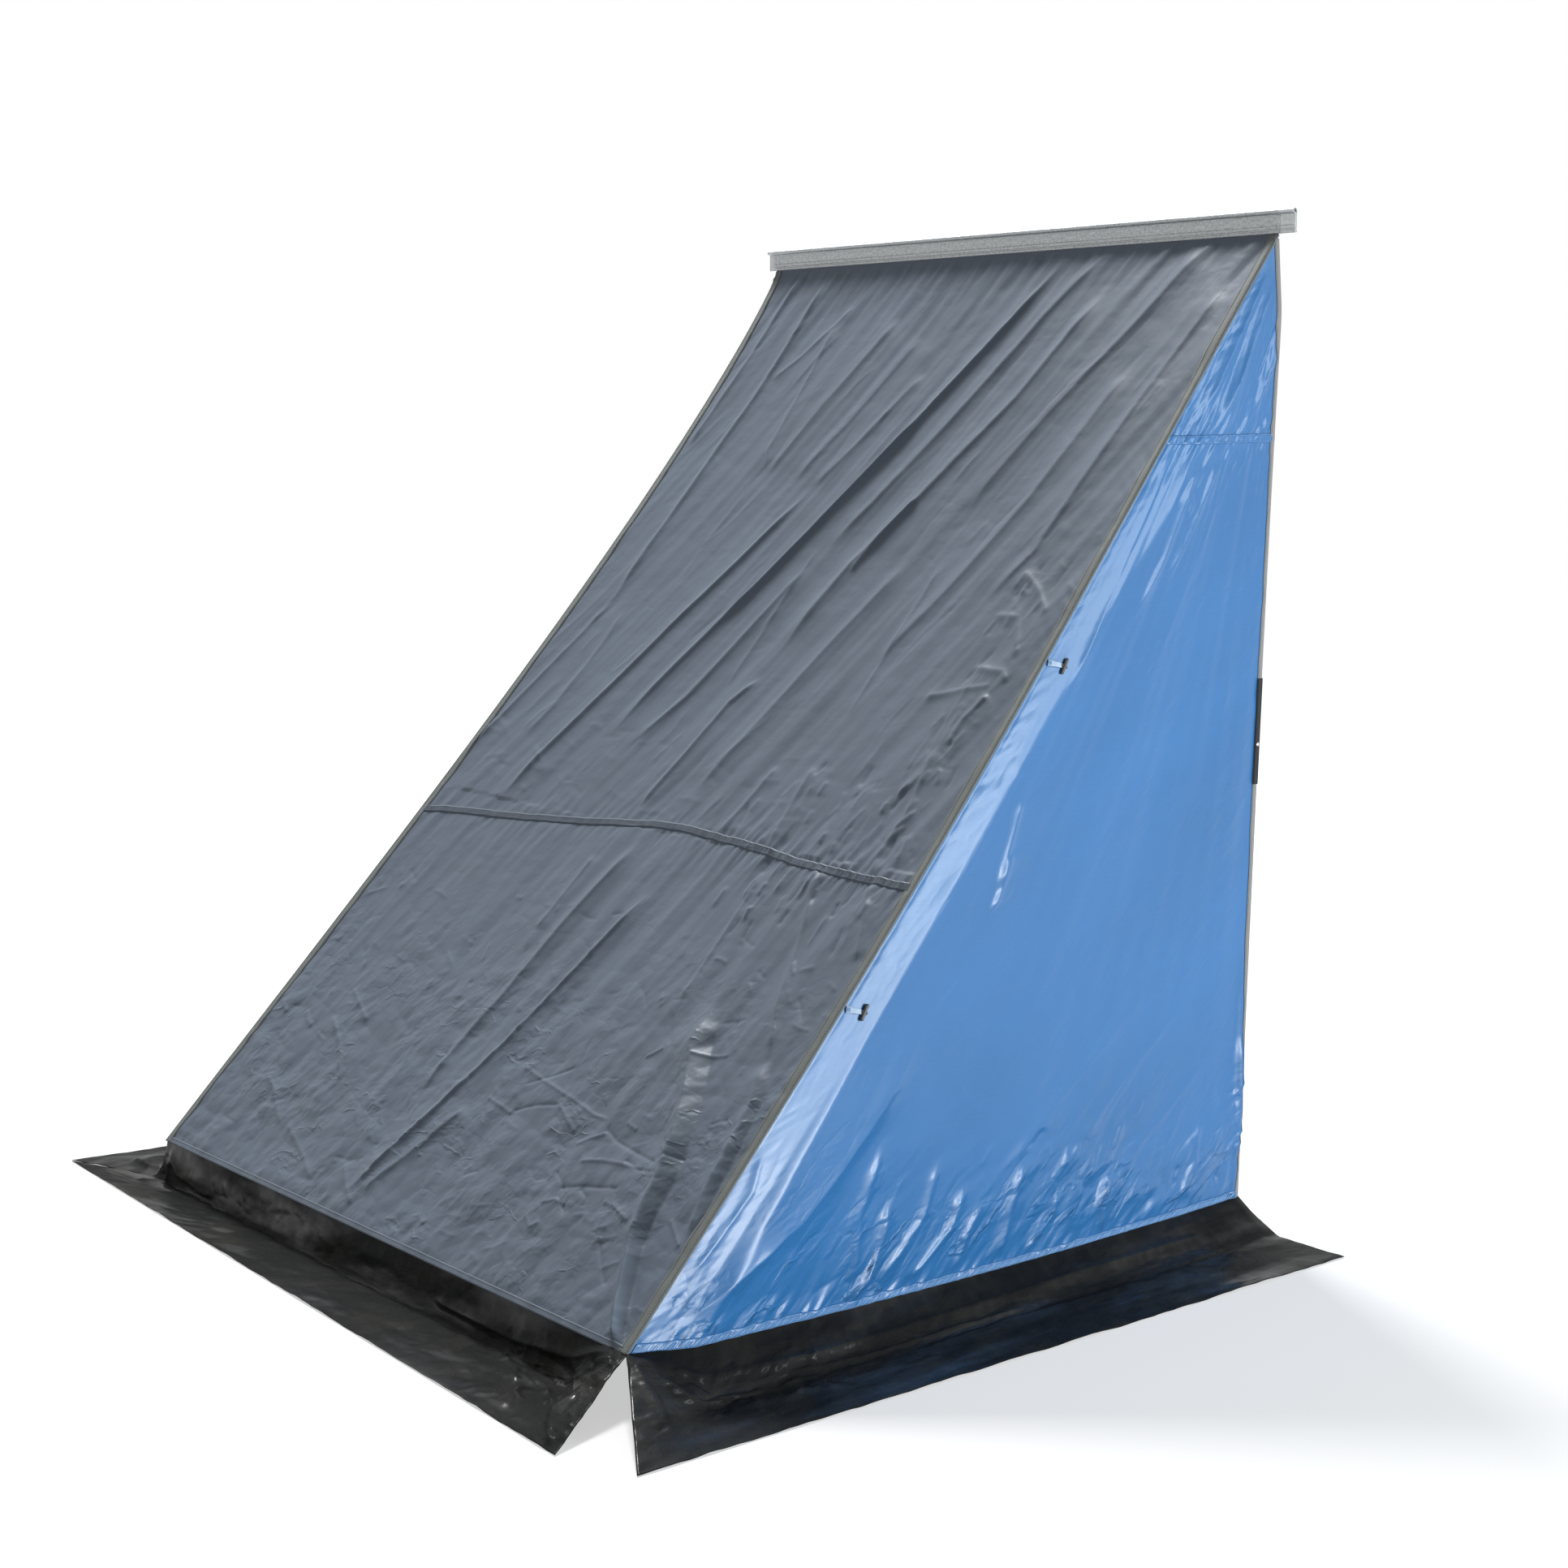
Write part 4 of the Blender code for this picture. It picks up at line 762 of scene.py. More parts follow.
def skirt_film():
    """Black woven film: a fine scrim, painted sheen as lighter greenish patches, glazed streaks,
    soft wrinkles.
    """
    color = (0.0085, 0.0090, 0.0092)
    paint = Paint("skirt_film", color, 0.50, IOR=1.10, Coat_Roughness=0.20, Coat_IOR=1.40)
    cut = paint.cut()
    patch = paint.noise(cut, 7.0, 5, 0.62)
    paint.bump(paint.noise(paint.scaled(cut, 9, 16, 1), 1.0, 5, 0.6, 0.6), 0.010)
    paint.bump(paint.cells(cut, 26.0), 0.0016)
    warp, weft = (paint.waves(cut, 130.0, 0.3, bands, 2.0) for bands in "XY")
    paint.bump(paint.math("MAXIMUM", warp, weft), 0.00030)
    paint.bump(paint.cells(cut, 520.0), 0.00030)
    # Painted sheen: the base colour turns lighter and greenish in patches.
    paint.tint(patch, 0.48, 0.72, color, (0.021, 0.021, 0.018))
    glazed = paint.noise(paint.scaled(cut, 2.6, 11, 1), 1.0, 3)
    paint.link("Coat Weight", paint.span(glazed, 0.46, 0.66, 0.04, 0.55))
    return paint.done()


def foil_tape():
    """Aluminised band: a diamond weave with glitter; its colour holds painted shade and highlights.
    """
    paint = Paint("foil_band", (0.62, 0.64, 0.65), 0.36, Metallic=0.75)
    cut = paint.cut()
    slants = (paint.waves(paint.cut(turn), 110.0, 0.8) for turn in (0.6, -0.6))
    diamond = paint.math("MULTIPLY", *slants)
    glitter = paint.cells(cut, 420.0)
    crush = paint.noise(cut, 160.0, 3)
    paint.bump(diamond, 0.00050)
    paint.bump(glitter, 0.00045)
    paint.bump(crush, 0.00050)
    # Painted shade and highlights: the colour darkens in the weave's and crush's hollows and
    # lightens on their crests.
    tone = paint.mean(diamond, crush, 0.5)
    paint.tint(tone, 0.15, 0.65, (0.20, 0.215, 0.225), (0.74, 0.76, 0.77))
    paint.link("Roughness", paint.span(glitter, 0.1, 0.6, 0.26, 0.50))
    return paint.done()


def foil_tab():
    """The band's plain ends."""
    paint = Paint("foil_tab", (0.55, 0.57, 0.58), 0.42, Metallic=0.6)
    paint.bump(paint.noise(paint.cut(), 220.0, 3), 0.0003)
    paint.link("Base Color", paint.mix(paint.noise(paint.cut(), 90.0, 3),
                                       (0.40, 0.42, 0.43), (0.72, 0.74, 0.74)))
    return paint.done()


def plain_thread(name, color):
    paint = Paint(name, color, 0.6)
    twist = paint.noise(paint.place(), 1500.0, 2)
    paint.bump(twist, 0.00008)
    paint.tint(twist, 0.3, 0.7, shade(color, 0.8), shade(color, 1.15))
    return paint.done()


roof_paint = coated_cloth("roof_polyester", (0.124, 0.154, 0.198), 0.46, -0.38, 1.0,
                          (1.60, 2.0, (13, 24, 1), 0.0022), Specular_IOR_Level=0.18)
side_paint = coated_cloth("side_polyester", (0.025, 0.140, 0.350), 0.36, 0.30, 0.35,
                          (1.60, 1.82, (21, 15, 1), 0.0056), Specular_IOR_Level=0.35,
                          Coat_Weight=0.36, Coat_Roughness=0.16)
tape_paint = woven_tape("seam_tape_weave", (0.142, 0.157, 0.153), 0.0016)
edge_paint = woven_tape("edge_tape_weave", (0.230, 0.225, 0.222), 0.0018)
tab_paint = woven_tape("tab_pile", (0.010, 0.011, 0.013), 0.0014, 0.8)
webbing_paint = woven_tape("loop_webbing", (0.380, 0.500, 0.640), 0.0012, 0.65)
film_paint = skirt_film()
band_paint = foil_tape()
band_end_paint = foil_tab()
pale_thread = plain_thread("thread_pale", (0.25, 0.27, 0.25))
grey_thread = plain_thread("thread_grey", (0.17, 0.185, 0.195))
blue_thread = plain_thread("thread_blue", (0.26, 0.43, 0.68))
silver_thread = plain_thread("thread_silver", (0.50, 0.51, 0.51))
black_thread = plain_thread("thread_black", (0.02, 0.02, 0.022))
steel_paint = drawn_metal("drawn_steel", (0.58, 0.59, 0.60), 0.30, 0.00003)
bright_paint = drawn_metal("rivet_metal", (0.72, 0.72, 0.71), 0.24, 0.00001)
plastic_paint = moulded("moulded_black", (0.018, 0.017, 0.016), 0.34)
toggle_paint = moulded("toggle_plastic", (0.040, 0.036, 0.033), 0.27)
rubber_paint = moulded("pole_rubber", (0.014, 0.014, 0.014), 0.72, 500.0)
cord_paint = woven_tape("cord_braid", (0.62, 0.62, 0.60), 0.0015)


# Roof: two panels that meet at the wavy cross seam, with the seam's and the hem's doubled strips.
def roof_panel(name, node, u, s):
    cut = (roof_flat(u, s)[0][..., 0], s)
    panel = cloth_object(name, roof_point(u, s), cut, roof_paint, ROOF_NORMAL, 0)
    return stands_for(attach(panel, "main"), node)


def front_hem(x):
    return x * 0 + SLOPE_LENGTH - 0.0065


def roof_strip(name, centre, half, lift):
    """A narrow strip that lies on the roof along a line across it."""
    u = np.linspace(-0.985, 0.985, 560)
    x = roof_x(u)
    rows = []
    for share in (-1.0, -0.94, -0.5, 0.0, 0.5, 0.94, 1.0):
        rows.append(roof_point(u, centre(x) + share * half, lift if abs(share) < 1 else STRIP_EDGE))
    cut = (x, np.linspace(-half, half, 7)[:, None])
    strip = cloth_object(name, rows, cut, roof_paint, ROOF_NORMAL, STRIP_THICKNESS)
    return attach(strip, "main")


def roof_stitches(name, centre, offsets, gap, length, lift):
    u = np.linspace(-0.984, 0.984, 900)
    rows = [stitch_row(roof_point(u, centre(roof_x(u)) + offset, lift), ROOF_NORMAL, gap, length)
            for offset in offsets]
    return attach(threads(name, rows, SEAM_THREAD, grey_thread), "main")


def seam_ladder():
    u = np.linspace(-0.984, 0.984, 900)[np.linspace(4, 895, 330).astype(int)]
    low, high = (roof_point(u, seam_line(u) + offset, 0.0020) for offset in (-0.0060, 0.0060))
    rungs = [(low, high, ROOF_NORMAL)]
    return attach(threads("roof_ladder_stitches", rungs, 0.00036, grey_thread), "main")


upper_u, lower_u = np.linspace(-1, 1, 400), np.linspace(-1, 1, 640)
upper_share = np.concatenate([[-0.012, -0.006, 0.0], np.linspace(0, 1, 350)[1:]])[:, None]
upper_s = np.where(upper_share < 0, upper_share, upper_share * seam_line(upper_u))
lower_top = seam_line(lower_u)
lower_s = lower_top + np.linspace(0, 1, 360)[:, None] * (SLOPE_LENGTH - lower_top)
roof_upper = roof_panel("roof_upper_cloth", "roof_upper_panel", upper_u, upper_s)
roof_lower = roof_panel("roof_lower_cloth", "roof_lower_panel", lower_u, lower_s)
seam_strip = roof_strip("roof_cross_seam", cross_seam, SEAM_HALF, 0.0014)
hem_strip = roof_strip("roof_front_hem", front_hem, 0.0065, 0.0012)
roof_threads = [
    roof_stitches("cross_seam_stitches", cross_seam, (-0.0060, 0.0060), 0.0042, 0.0032, 0.0022),
    roof_stitches("front_hem_stitches", front_hem, (-0.0045, 0.0040), 0.0046, 0.0034, 0.0018),
    seam_ladder(),
]


# Seam tapes on the roof's diagonal edges, with ladder stitching.
TAPE_SECTION = (  # inset from the edge, lift over the roof
    (-0.0016, -0.0022), (-0.0012, 0.0006), (0.002, 0.0012), (0.007, 0.0013), (0.012, 0.0013),
    (0.017, 0.0013), (0.0212, 0.0011), (0.0218, 0.0001))


def tape_point(side, t, inset, lift):
    wide = np.linalg.norm((LEFT if side is RIGHT else RIGHT).seam(t) - side.seam(t), axis=-1)
    return roof_point(side.hand * (1 - 2 * inset / wide), t * SLOPE_LENGTH, lift)


def seam_tape(side):
    t = np.linspace(0.0008, 1.0, 620)
    points = [tape_point(side, t, inset, lift) for inset, lift in TAPE_SECTION]
    cut = (t * SLOPE_LENGTH, np.array(TAPE_SECTION)[:, :1])
    tape = cloth_object("edge_tape_" + side.word, points, cut, tape_paint, ROOF_NORMAL, 0.0007)
    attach(tape, "main")
    stands_for(tape, "seam_tape_" + side.word)
    rows = [stitch_row(tape_point(side, t, inset, 0.0020), ROOF_NORMAL, 0.0046, 0.0034)
            for inset in (0.0030, 0.0185)]
    rungs = np.linspace(0.004, 0.998, 480)
    low = tape_point(side, rungs, 0.0012, 0.0015)
    high = tape_point(side, rungs + 0.0006, 0.0078, 0.0016)
    rows.append((low, high, ROOF_NORMAL))
    stitches = threads("edge_tape_stitches_" + side.word, rows, 0.00050, pale_thread)
    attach(stitches, "main")


# Side cloth: gore and panel, the seam between them and the hem.
CLOTH_PIECES = (  # name, node, rows, flat size, area
    ("gore_cloth_", "side_gore_", np.linspace(0.0065, GORE_SEAM, 80), (0.40, 0.34), 0.068),
    ("panel_cloth_", "side_panel_",
     np.concatenate([np.linspace(GORE_SEAM, 0.80, 180), np.linspace(0.80, 1.0, 120)[1:]]),
     (1.60, 1.53), 1.47),
)


def swing(piece):
    """Bakes a piece's placement into its mesh."""
    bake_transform(piece)


def side_cloth(side):
    for name, node, rows, flat, area in CLOTH_PIECES:
        t = rows[:, None] + np.zeros(360)
        reach = np.linspace(0, 1, 360) ** 1.10 * (side.width(t) - 0.0008)
        cloth = cloth_object(name + side.word, side.point(t, reach), (reach, t * DROP),
                             side_paint, side.out, 0)
        swing(cloth)
        stands_for(cloth, node + side.word)


def side_strip(side, name, middle, half, count):
    share = np.linspace(0.004, 0.996, count)
    rows = []
    for place in (-1.0, -0.92, -0.4, 0.0, 0.4, 0.92, 1.0):
        t = np.full(share.shape, middle) + place * half / DROP
        lift = 0.0013 if abs(place) < 1 else STRIP_EDGE
        rows.append(side.point(t, share * side.width(t)) + side.out * lift)
    cut = (share * 1.5, np.linspace(-half, half, 7)[:, None])
    strip = cloth_object(name + side.word, rows, cut, side_paint, side.out, STRIP_THICKNESS)
    swing(strip)


def side_stitches(side):
    """Two rows on the gore's seam, two along the hem, and the hem's rungs."""
    share = np.linspace(0.006, 0.994, 700)

    def line(t_value, lift, wide_at=None):
        wide = side.width(np.full(share.shape, t_value if wide_at is None else wide_at))
        return side.point(np.full(share.shape, t_value), share * wide) + side.out * lift

    offsets = [(GORE_SEAM, -0.0062), (GORE_SEAM, 0.0062), (1.0, -0.0022), (1.0, -0.0150)]
    rows = [stitch_row(line(start + offset / DROP, 0.0019), side.out, 0.0040, 0.0030)
            for start, offset in offsets]
    swing(threads("side_stitches_" + side.word, rows, SEAM_THREAD, blue_thread))
    hem = 1.0 - 0.0025 / DROP
    picks = np.linspace(2, 696, int(float(side.width(np.array(hem))) / 0.0060)).astype(int)
    low, high = line(hem, 0.0016)[picks], line(hem - 0.0115 / DROP, 0.0016, hem)[picks + 2]
    rungs = [(low, high, side.out)]
    swing(threads("hem_rungs_" + side.word, rungs, HEM_RUNG_THREAD, blue_thread))


def rear_binding(side):
    """The folded tape around the rear edge, seen from both sides, with its row of stitches."""
    half = ((0.0125, 0.0003), (0.0120, 0.0014), (0.006, 0.0016), (0.0012, 0.0014))
    section = (*half, (-0.0002, 0.0), *((inset, -lift) for inset, lift in reversed(half)))
    t = np.linspace(0.0050, 1.0, 420)
    room = side.width(t)
    wave = 0.0006 * gradient_noise(t * 60, t * 0 + side.hand, 71)
    points = [side.point(t, room - 0.0006 - inset - (wave if inset > 0.01 else 0))
              + side.out * lift for inset, lift in section]
    cut = (t * DROP, np.linspace(0, 0.028, 9)[:, None])
    body = "side_" + side.word
    binding = cloth_object("rear_binding_" + side.word, points, cut, edge_paint, side.out, 0.0005)
    stands_for(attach(binding, body), "edge_binding_" + side.word)
    path = side.point(t, room - 0.0106) + side.out * 0.0020
    rows = [stitch_row(path, side.out, 0.0042, 0.0031)]
    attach(threads("binding_stitches_" + side.word, rows, 0.00038, grey_thread), body)


def rear_tab(side):
    """The black fixing tab beside the rear edge."""
    t = (ROOF_TOP - np.linspace(*TAB_SPAN, 60)) / DROP
    room = side.width(t) - 0.0004
    section = ((0.0002, 0.0023), (0.004, 0.0028), (0.007, 0.0029), (0.01, 0.0028), (0.0138, 0.0023))
    points = [side.point(t, room - inset, False) + side.out * lift for inset, lift in section]
    cut = (t * DROP, np.linspace(0, 0.014, 5)[:, None])
    body = "side_" + side.word
    tab = cloth_object("rear_tab_" + side.word, points, cut, tab_paint, side.out, 0.0012)
    stands_for(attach(tab, body), "fixing_tab_" + side.word)
    paths = [side.point(t, room - inset, False) + side.out * 0.0034 for inset in (0.0018, 0.0122)]
    rows = [stitch_row(path, side.out, 0.0040, 0.0030) for path in paths]
    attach(threads("tab_stitches_" + side.word, rows, 0.00035, black_thread), body)


for side in (RIGHT, LEFT):
    seam_tape(side)
for side in (RIGHT, LEFT):
    side_cloth(side)
    side_strip(side, "gore_seam_", GORE_SEAM, SEAM_HALF, 420)
    side_strip(side, "side_hem_", 1.0 - 0.0085 / DROP, 0.0080, 700)
    side_stitches(side)
    rear_binding(side)
    rear_tab(side)


# Toggles: webbing loops around moulded bars.
BAR_PROFILE = (  # place along the bar, radius
    (-0.0160, 0.0005), (-0.0158, 0.0017), (-0.0152, 0.0026), (-0.0140, 0.0032), (-0.0110, 0.0034),
    (-0.0060, 0.0034), (0.0, 0.0034), (0.0060, 0.0034), (0.0110, 0.0034), (0.0140, 0.0032),
    (0.0152, 0.0026), (0.0158, 0.0017), (0.0160, 0.0005))
BAR_SIDES = 24
BAR_TILT = 0.26


def corners_of(node):
    return np.array([corner.co for corner in node.data.vertices], float)


def loop_profile(root, low):
    """The webbing's section, as (along, height): out from its root, round the bar and back."""
    radius = 0.0036
    profile = [(root, low), (root * 0.75, low), (root * 0.5, low + 0.0002),
               (-0.0035, -radius * 0.96)]
    for k in range(9):
        angle = -math.pi / 2 + math.pi * k / 8
        profile.append((0.0010 + 0.0016 * math.cos(angle),
                        -radius * 0.5 + 0.0016 * math.sin(angle)))
    profile += [(-0.005, -radius * 0.35), (-0.011, low * 0.45 + 0.0010), (root * 0.5, low + 0.0018),
                (root * 0.75, low + 0.0012), (root, low + 0.0010)]
    return np.array(profile)


def toggle(side, row):
    """One loop with its tack stitches, and its bar: a rod with a short peg across it."""
    suffix = "_{}_{}".format(side.word, row)
    body = "toggle" + suffix
    bar, loop = (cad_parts["toggle_" + kind + suffix] for kind in ("bar", "loop"))
    points = corners_of(bar)
    centre = points.mean(0)
    bar_way = np.linalg.svd(points - centre)[2][0]
    bar_way = bar_way if bar_way[2] > 0 else -bar_way
    spots = corners_of(loop) - centre
    spread = spots - np.outer(spots @ bar_way, bar_way)
    way = -spread[np.argmax(np.linalg.norm(spread, axis=1))]
    way /= np.linalg.norm(way)
    out = np.cross(way, bar_way)
    out = out if out @ side.out > 0 else -out
    along = spots @ way
    root = along.min()
    low = (spots @ out)[along < root + 0.004].min() + 0.0004
    profile = loop_profile(root, low)
    fine = np.linspace(0, len(profile) - 1, 90)
    px, pz = (np.interp(fine, np.arange(len(profile)), values) for values in profile.T)
    widths = np.linspace(-0.5, 0.5, 7)
    wide = np.interp(px, (root, root * 0.4, 0.0), (0.0118, 0.0092, 0.0070))
    middle = centre + px[:, None] * way + pz[:, None] * out
    grid = [middle + bar_way * (share * wide)[:, None] for share in widths]
    cut = (fine * 0.001, widths[:, None] * 0.01)
    webbing = cloth_object("loop_webbing" + suffix, grid, cut, webbing_paint, out, 0.0007)
    stands_for(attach(webbing, body), loop.name)
    places = root + 0.0016 + np.arange(9)[:, None] * 0.0007
    starts = centre + places * way - bar_way * 0.0040 + out * (low + 0.0016)
    tack = [(starts, starts + bar_way * 0.0080 + way * 0.0003, out)]
    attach(threads("loop_tack" + suffix, tack, 0.00032, blue_thread), body)
    lengths, radii = np.array(BAR_PROFILE).T
    rod_way = bar_way * math.cos(BAR_TILT) + way * math.sin(BAR_TILT)
    rod_side = way * math.cos(BAR_TILT) - bar_way * math.sin(BAR_TILT)
    angles = np.linspace(0, 2 * math.pi, BAR_SIDES + 1)[:-1]
    cosines, sines = np.cos(angles)[None, :, None], np.sin(angles)[None, :, None]
    rod = (centre + lengths[:, None, None] * rod_way
           + radii[:, None, None] * (cosines * rod_side + sines * out * 0.96))
    peg = (centre - out * 0.0012 - (lengths * 0.40)[:, None, None] * rod_side
           + (radii * 0.76)[:, None, None] * (cosines * rod_way + sines * out))
    faces = []
    for first in (0, len(lengths) * BAR_SIDES):
        index = first + np.arange(len(lengths) * BAR_SIDES).reshape(-1, BAR_SIDES)
        after = np.roll(index, -1, axis=1)
        quads = np.stack([index[:-1], after[:-1], after[1:], index[1:]], -1)
        faces += quads.reshape(-1, 4).tolist()
        faces += [index[0].tolist()[::-1], index[-1].tolist()]
    points = np.concatenate([rod, peg]).reshape(-1, 3)
    piece = make_object("toggle_peg" + suffix, points, faces, toggle_paint)
    stands_for(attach(piece, body), bar.name)


for side in (RIGHT, LEFT):
    for row in ("upper", "lower"):
        toggle(side, row)


# Mud skirts.
FRONT_SKIRT_CREASES = (
    # depth, width, then points: along and down the film; all in mm, -1000 to 1000 along
    (9, 14, 995, 12, 860, 40, 620, 62, 300, 60),
    (8, 12, 990, 20, 900, 90, 800, 150),
    (7, 10, 992, 30, 950, 110, 910, 200),
    (6, 10, 800, 160, 900, 190, 980, 270),
    (5, 10, 550, 120, 680, 150, 830, 240),
    (8, 12, -980, 15, -900, 60, -700, 85),
    (7, 11, -970, 30, -930, 120, -880, 200),
)
SIDE_SKIRT_CREASES = (
    # the same, 0 to 1600 along
    (8, 15, 10, 10, 120, 50, 400, 70, 850, 66, 1450, 55),
    (7, 11, 10, 20, 80, 90, 200, 140),
    (8, 12, 10, 30, 40, 120, 70, 240),
    (6, 9, 100, 60, 160, 110, 270, 135),
    (6, 9, 60, 80, 130, 130, 170, 200),
    (5, 12, 300, 95, 550, 120, 900, 118),
    (4, 12, 600, 180, 850, 165, 1200, 175),
)
SKIRT_ROWS = np.linspace(0, 1, 70)[:, None]
GROUND_LIFT = 0.0010


def skirt_surface(top, outer, crease_run, taut):
    """As the frame has it: down from the hem, a soft turn, then flat on the ground; straight
    where taut is 1."""
    top = top - np.array([0, 0, 0.0005])
    end = np.array(outer, float)
    end[..., 2] = GROUND_LIFT
    level = np.array([1, 1, 0])
    run = (end - top) * level
    run /= np.linalg.norm(run, axis=-1, keepdims=True)
    crease_line = top * level + run * crease_run + np.array([0, 0, GROUND_LIFT])
    landing = crease_line + (end - crease_line) * 0.16
    share = SKIRT_ROWS[..., None]
    k = np.clip(share / 0.5, 0, 1)
    fall = top * (1 - k) ** 2 + crease_line * 2 * k * (1 - k) + landing * k ** 2
    flat = landing + (end - landing) * (np.clip(share - 0.5, 0, 1) / 0.5)
    hung = np.where(share < 0.5, fall, flat)
    straight = top + (end - top) * share
    return hung + (straight - hung) * taut[..., None]


def skirt_rise(along, down, seed):
    """Wrinkles of the film: long ones beside the fold, a net of small ones on the ground."""
    wave = 0.5 + 0.9 * gradient_noise(along * 2.6, down * 9, seed)
    long_ones = gradient_noise(along * 3.2 + 0.8 * down * 6, down * 14, seed + 1)
    rise = 0.0060 * np.clip(long_ones + 0.1, 0, 1) * wave
    rise += 0.0035 * np.clip(gradient_noise(along * 9, down * 18, seed + 2), 0, 1)
    rise += 0.0030 * facets(along * 7 + wave, down * 9 + wave, seed + 3)
    rise += 0.0015 * facets(along * 17, down * 20, seed + 4)
    return rise


def skirt(name, node, points, along, down, seed, creases, busy, side=None):
    """One skirt of wrinkled film: the side skirts have their placement baked in, the front one is
    attached to the main body.
    """
    along, down = np.broadcast_arrays(along, down)
    normal = np.cross(np.gradient(points, axis=1), np.gradient(points, axis=0))
    normal /= np.maximum(np.linalg.norm(normal, axis=-1, keepdims=True), 1e-12)
    normal *= np.sign(normal[normal.shape[0] * 3 // 4, normal.shape[1] // 2, 2])
    rise = skirt_rise(along, down, seed) * step(SKIRT_ROWS, 0.0, 0.10)
    rise += drawn(along, down, creases, 0.10)
    rise += scattered(along, down, seed + 5, 70, busy, (0.0015, 0.0040), (0.02, 0.08),
                      (0.005, 0.008), 0.8, 1.4)
    points = points + normal * rise[..., None]
    points[..., 2] = np.maximum(points[..., 2], 0.0009)
    piece = cloth_object(name, points, (along, down), film_paint, (0, 0, 1), 0.0007)
    if side:
        swing(piece)
    else:
        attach(piece, "main")
    stands_for(piece, node)


def front_skirt():
    u = np.linspace(-1, 1, 420)
    hem = roof_point(u, np.full(u.shape, SLOPE_LENGTH - SKIRT_TUCK)) - ROOF_NORMAL * 0.0016
    left = np.array([-SKIRT_CORNER, WALL - SKIRT_FRONTS[-1], 0])
    right = np.array([FRONT_SKIRT_RIGHT[0], WALL - FRONT_SKIRT_RIGHT[1], 0])
    outer = left + (right - left) * ((u + 1) / 2)[:, None]
    points = skirt_surface(hem, outer, 0.010, step(u, 0.80, 1.0))
    skirt("front_skirt", "skirt_front", points, u, SKIRT_ROWS * 0.28, 81,
          FRONT_SKIRT_CREASES, (0.60, 0.03, 0.99, 0.27))


def side_skirt(side):
    """The right one starts taut at the corner; the left one starts close to the hem there."""
    along = np.linspace(0, 1, 320)
    t = np.full(along.shape, 1.0 - SKIRT_TUCK / DROP)
    if side is RIGHT:
        first, taut, run = -0.0015, step(0.10 - along, 0.0, 0.10), np.full(along.shape, 0.085)
    else:
        first, taut, run = 0.0, along * 0, 0.010 + 0.075 * step(along, 0.0, 0.06)
    hem = side.point(t, (first + (1 - first) * along) * side.width(t)) - side.out * 0.0015
    front = np.array([side.hand * SKIRT_CORNER, WALL - SKIRT_FRONTS[side.hand], 0])
    rear = np.array([side.hand * SKIRT_REAR, WALL - WALL_GAP, 0])
    outer = front + (rear - front) * along[:, None]
    points = skirt_surface(hem, outer, run[:, None], taut)
    skirt("side_skirt_" + side.word, "skirt_" + side.word, points, along * 1.6, SKIRT_ROWS * 0.32,
          86 + side.hand, SIDE_SKIRT_CREASES, (0.04, 0.03, 0.40, 0.22), side)


front_skirt()
for side in (RIGHT, LEFT):
    side_skirt(side)


# Keder band: a folded foil tape over the cord, with plain tabs at its ends.
def band(name, x0, x1, paint, lip, thickness):
    """A stretch of the band; lip is the depth of the scallops on its front edge."""
    x = np.linspace(x0, x1, int((x1 - x0) / 0.004) + 2)
    turn_radius = CORD_RADIUS + 0.0003 + 0.00045
    back_y, front_y = -0.00045, -0.00045 - 0.0009 - 0.0015 - 0.0006
    centre_y, centre_z = back_y - turn_radius, RAIL_HEIGHT + turn_radius
    turn = 2 * math.pi - math.acos((front_y - centre_y) / turn_radius)
    path = [(back_y, ROOF_TOP + 0.0004), (back_y, ROOF_TOP + 0.012), (back_y, ROOF_TOP + 0.024),
            (back_y, centre_z)]
    for k in range(1, 21):
        angle = turn * k / 20
        path.append((centre_y + turn_radius * math.cos(angle),
                     centre_z + turn_radius * math.sin(angle)))
    path.append((front_y, RAIL_HEIGHT - 0.002))
    path += [(front_y, ROOF_TOP + above) for above in (0.028, 0.020, 0.012, 0.006, 0.003, 0.0)]
    path = np.array(path)
    rows = []
    for k, (y, z) in enumerate(path):
        on_front = step(np.array(float(len(path) - k)), 8.0, 5.0)
        ruffle = 0.0007 * gradient_noise(x * 24, x * 0 + z * 60, 91) * on_front
        scallop = lip * np.abs(np.sin(x * math.pi / 0.011)) if k == len(path) - 1 else 0.0
        rows.append(np.stack([x, WALL + y - np.abs(ruffle), z + scallop + 0 * x], 1))
    lengths = np.concatenate([[0], np.cumsum(np.hypot(*np.diff(path, axis=0).T))])
    cut = (x, lengths[:, None])
    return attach(cloth_object(name, rows, cut, paint, (0, -1, 0), thickness), "main")


def band_stitches():
    line = np.linspace(-0.800, 0.838, 40)
    front = np.full(40, WALL - 0.00345 - 0.0012)
    paths = [np.stack([line, front, np.full(40, ROOF_TOP + height)], 1)
             for height in (0.0055, 0.0085, 0.0150)]
    rows = [stitch_row(path, (0.0, -1.0, 0.0), 0.0044, 0.0033) for path in paths]
    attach(threads("band_stitches", rows, 0.00045, silver_thread), "main")


rail_band = band("rail_band", -0.805, 0.800, band_paint, 0.0012, 0.0009)
stands_for(rail_band, "keder_band")
band_stitches()
for word, x0, x1 in (("right", 0.7995, 0.8405), ("left", -0.822, -0.8035)):
    band("band_tab_" + word, x0, x1, band_end_paint, 0.0, 0.0008)

# Paints of the frame's own hard pieces.
PAINTS = {
    "keder_cord": cord_paint, "tab_rivet": bright_paint, "pole_lower_tube": steel_paint,
    "pole_upper_tube": steel_paint, "pole_clamp": plastic_paint, "clamp_screw": plastic_paint,
    "pole_foot": rubber_paint, "pole_cap": rubber_paint,
}
for name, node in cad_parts.items():
    for start, paint in PAINTS.items():
        if name.startswith(start):
            node.data.materials.clear()
            node.data.materials.append(paint)

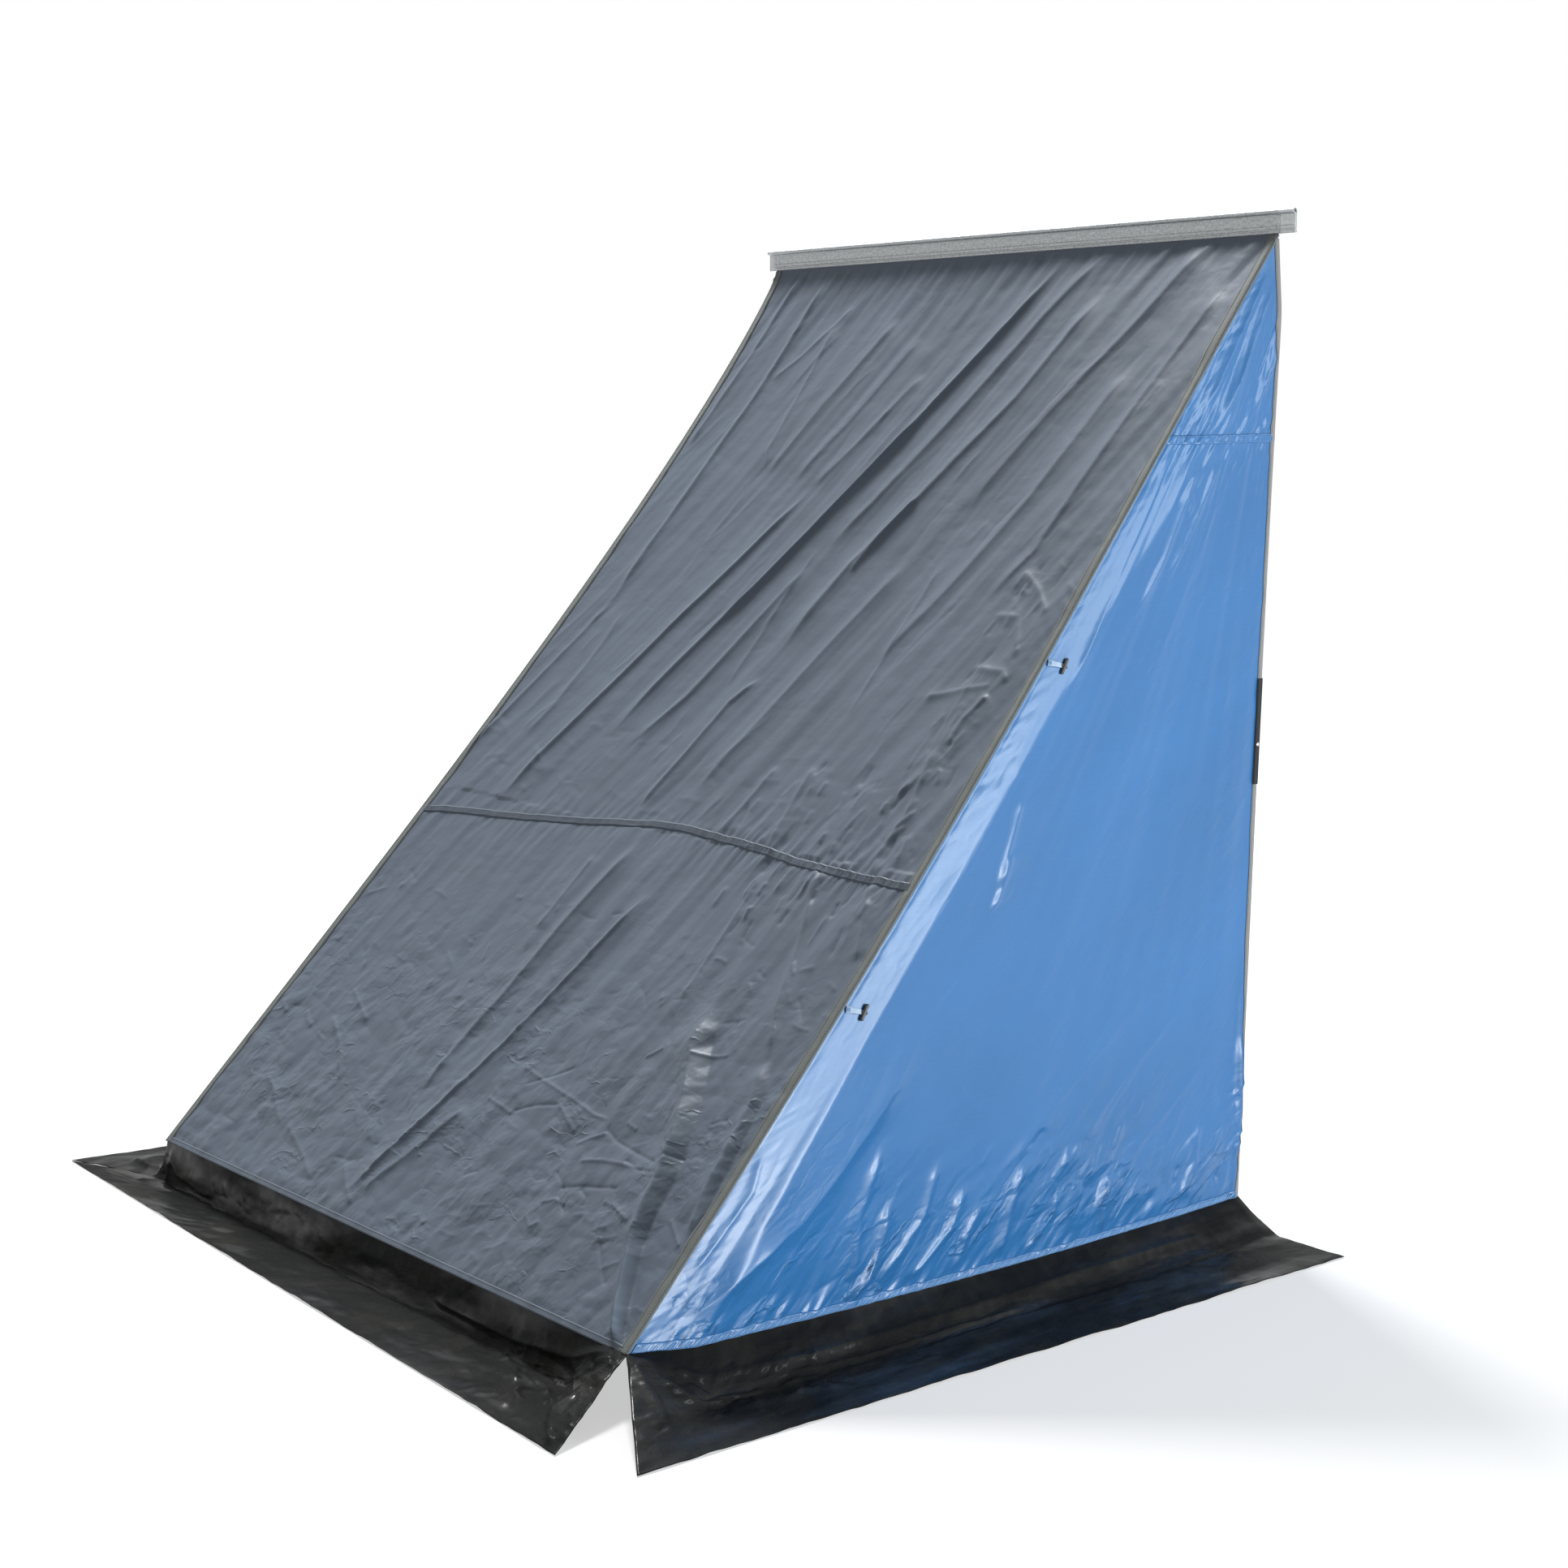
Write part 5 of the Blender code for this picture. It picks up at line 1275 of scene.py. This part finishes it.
# Floor and world: white for the eye and for reflections, plain and dimmer as light.
floor_mesh = bpy.data.meshes.new("floor")
floor_mesh.from_pydata([(-40, -40, 0), (40, -40, 0), (40, 40, 0), (-40, 40, 0)], [], [(0, 1, 2, 3)])
floor = bpy.data.objects.new("floor", floor_mesh)
bpy.context.scene.collection.objects.link(floor)
floor_paint = Paint("floor_white", (0.40, 0.40, 0.40), 0.9, Specular_IOR_Level=0.0,
                    Emission_Color=(1, 1, 1, 1))
away = floor_paint.node("VectorMath", {0: floor_paint.place()}, operation="LENGTH")["Value"]
glow = floor_paint.span(away, 2.6, 7.0, 0.54, 0.90)
floor_paint.link("Emission Strength", floor_paint.math("MULTIPLY", floor_paint.looked_at(), glow))
floor_mesh.materials.append(floor_paint.material)

world = bpy.data.worlds.new("studio")
bpy.context.scene.world = world
world.use_nodes = True
studio = Nodes(world.node_tree)
background = studio.tree.nodes["Background"]
background.inputs["Color"].default_value = (1, 1, 1, 1)
studio.tree.links.new(studio.span(studio.looked_at(), 0.0, 1.0, 0.25, 1.0),
                      background.inputs["Strength"])


# Lamps and camera.
def softbox(name, place, target, size, power, color=(1, 1, 1), roll=0):
    data = bpy.data.lights.new(name, "AREA")
    data.shape = "RECTANGLE"
    data.size, data.size_y = size
    data.energy = power
    data.color = color
    lamp = bpy.data.objects.new(name, data)
    lamp.location = place
    aim = (Vector(target) - Vector(place)).to_track_quat("-Z", "Y")
    lamp.rotation_euler = (aim.to_matrix() @ Matrix.Rotation(math.radians(roll), 3, "Z")).to_euler()
    lamp.visible_camera = False
    bpy.context.scene.collection.objects.link(lamp)


SKY_TINT = (0.84, 0.94, 1.0)
softbox("roof_key", (-4.30, 2.40, 8.90), (0.0, 0.0, 0.8), (2.0, 2.0), 1380)
softbox("side_fill", (4.2, 0.60, 0.35), (0.87, -0.3, 0.3), (2.0, 0.6), 50)
softbox("side_low", (5.2, 1.20, 1.05), (0.87, -0.2, 0.5), (1.4, 2.1), 84, SKY_TINT)
softbox("side_high", (5.2, 2.75, 2.10), (0.83, 0.3, 1.1), (3.0, 1.1), 96, SKY_TINT, roll=12)

# The photograph's camera, fitted to the caravan's lines and the tent's corners.
camera_data = bpy.data.cameras.new("camera")
camera_data.lens = 64.187
camera_data.sensor_width = 36.0
camera_data.clip_end = 100.0
camera = bpy.data.objects.new("camera", camera_data)
yaw, pitch = math.radians(-52.803), math.radians(-7.233)
ahead = Vector((math.sin(yaw) * math.cos(pitch), math.cos(yaw) * math.cos(pitch), math.sin(pitch)))
right = Vector((math.cos(yaw), -math.sin(yaw), 0.0))
turn = Matrix((right, right.cross(ahead), -ahead)).transposed().to_4x4()
camera.matrix_world = Matrix.Translation((4.556, -3.149, 1.592)) @ turn
bpy.context.scene.collection.objects.link(camera)
bpy.context.scene.camera = camera
bpy.context.scene.view_settings.view_transform = "Standard"
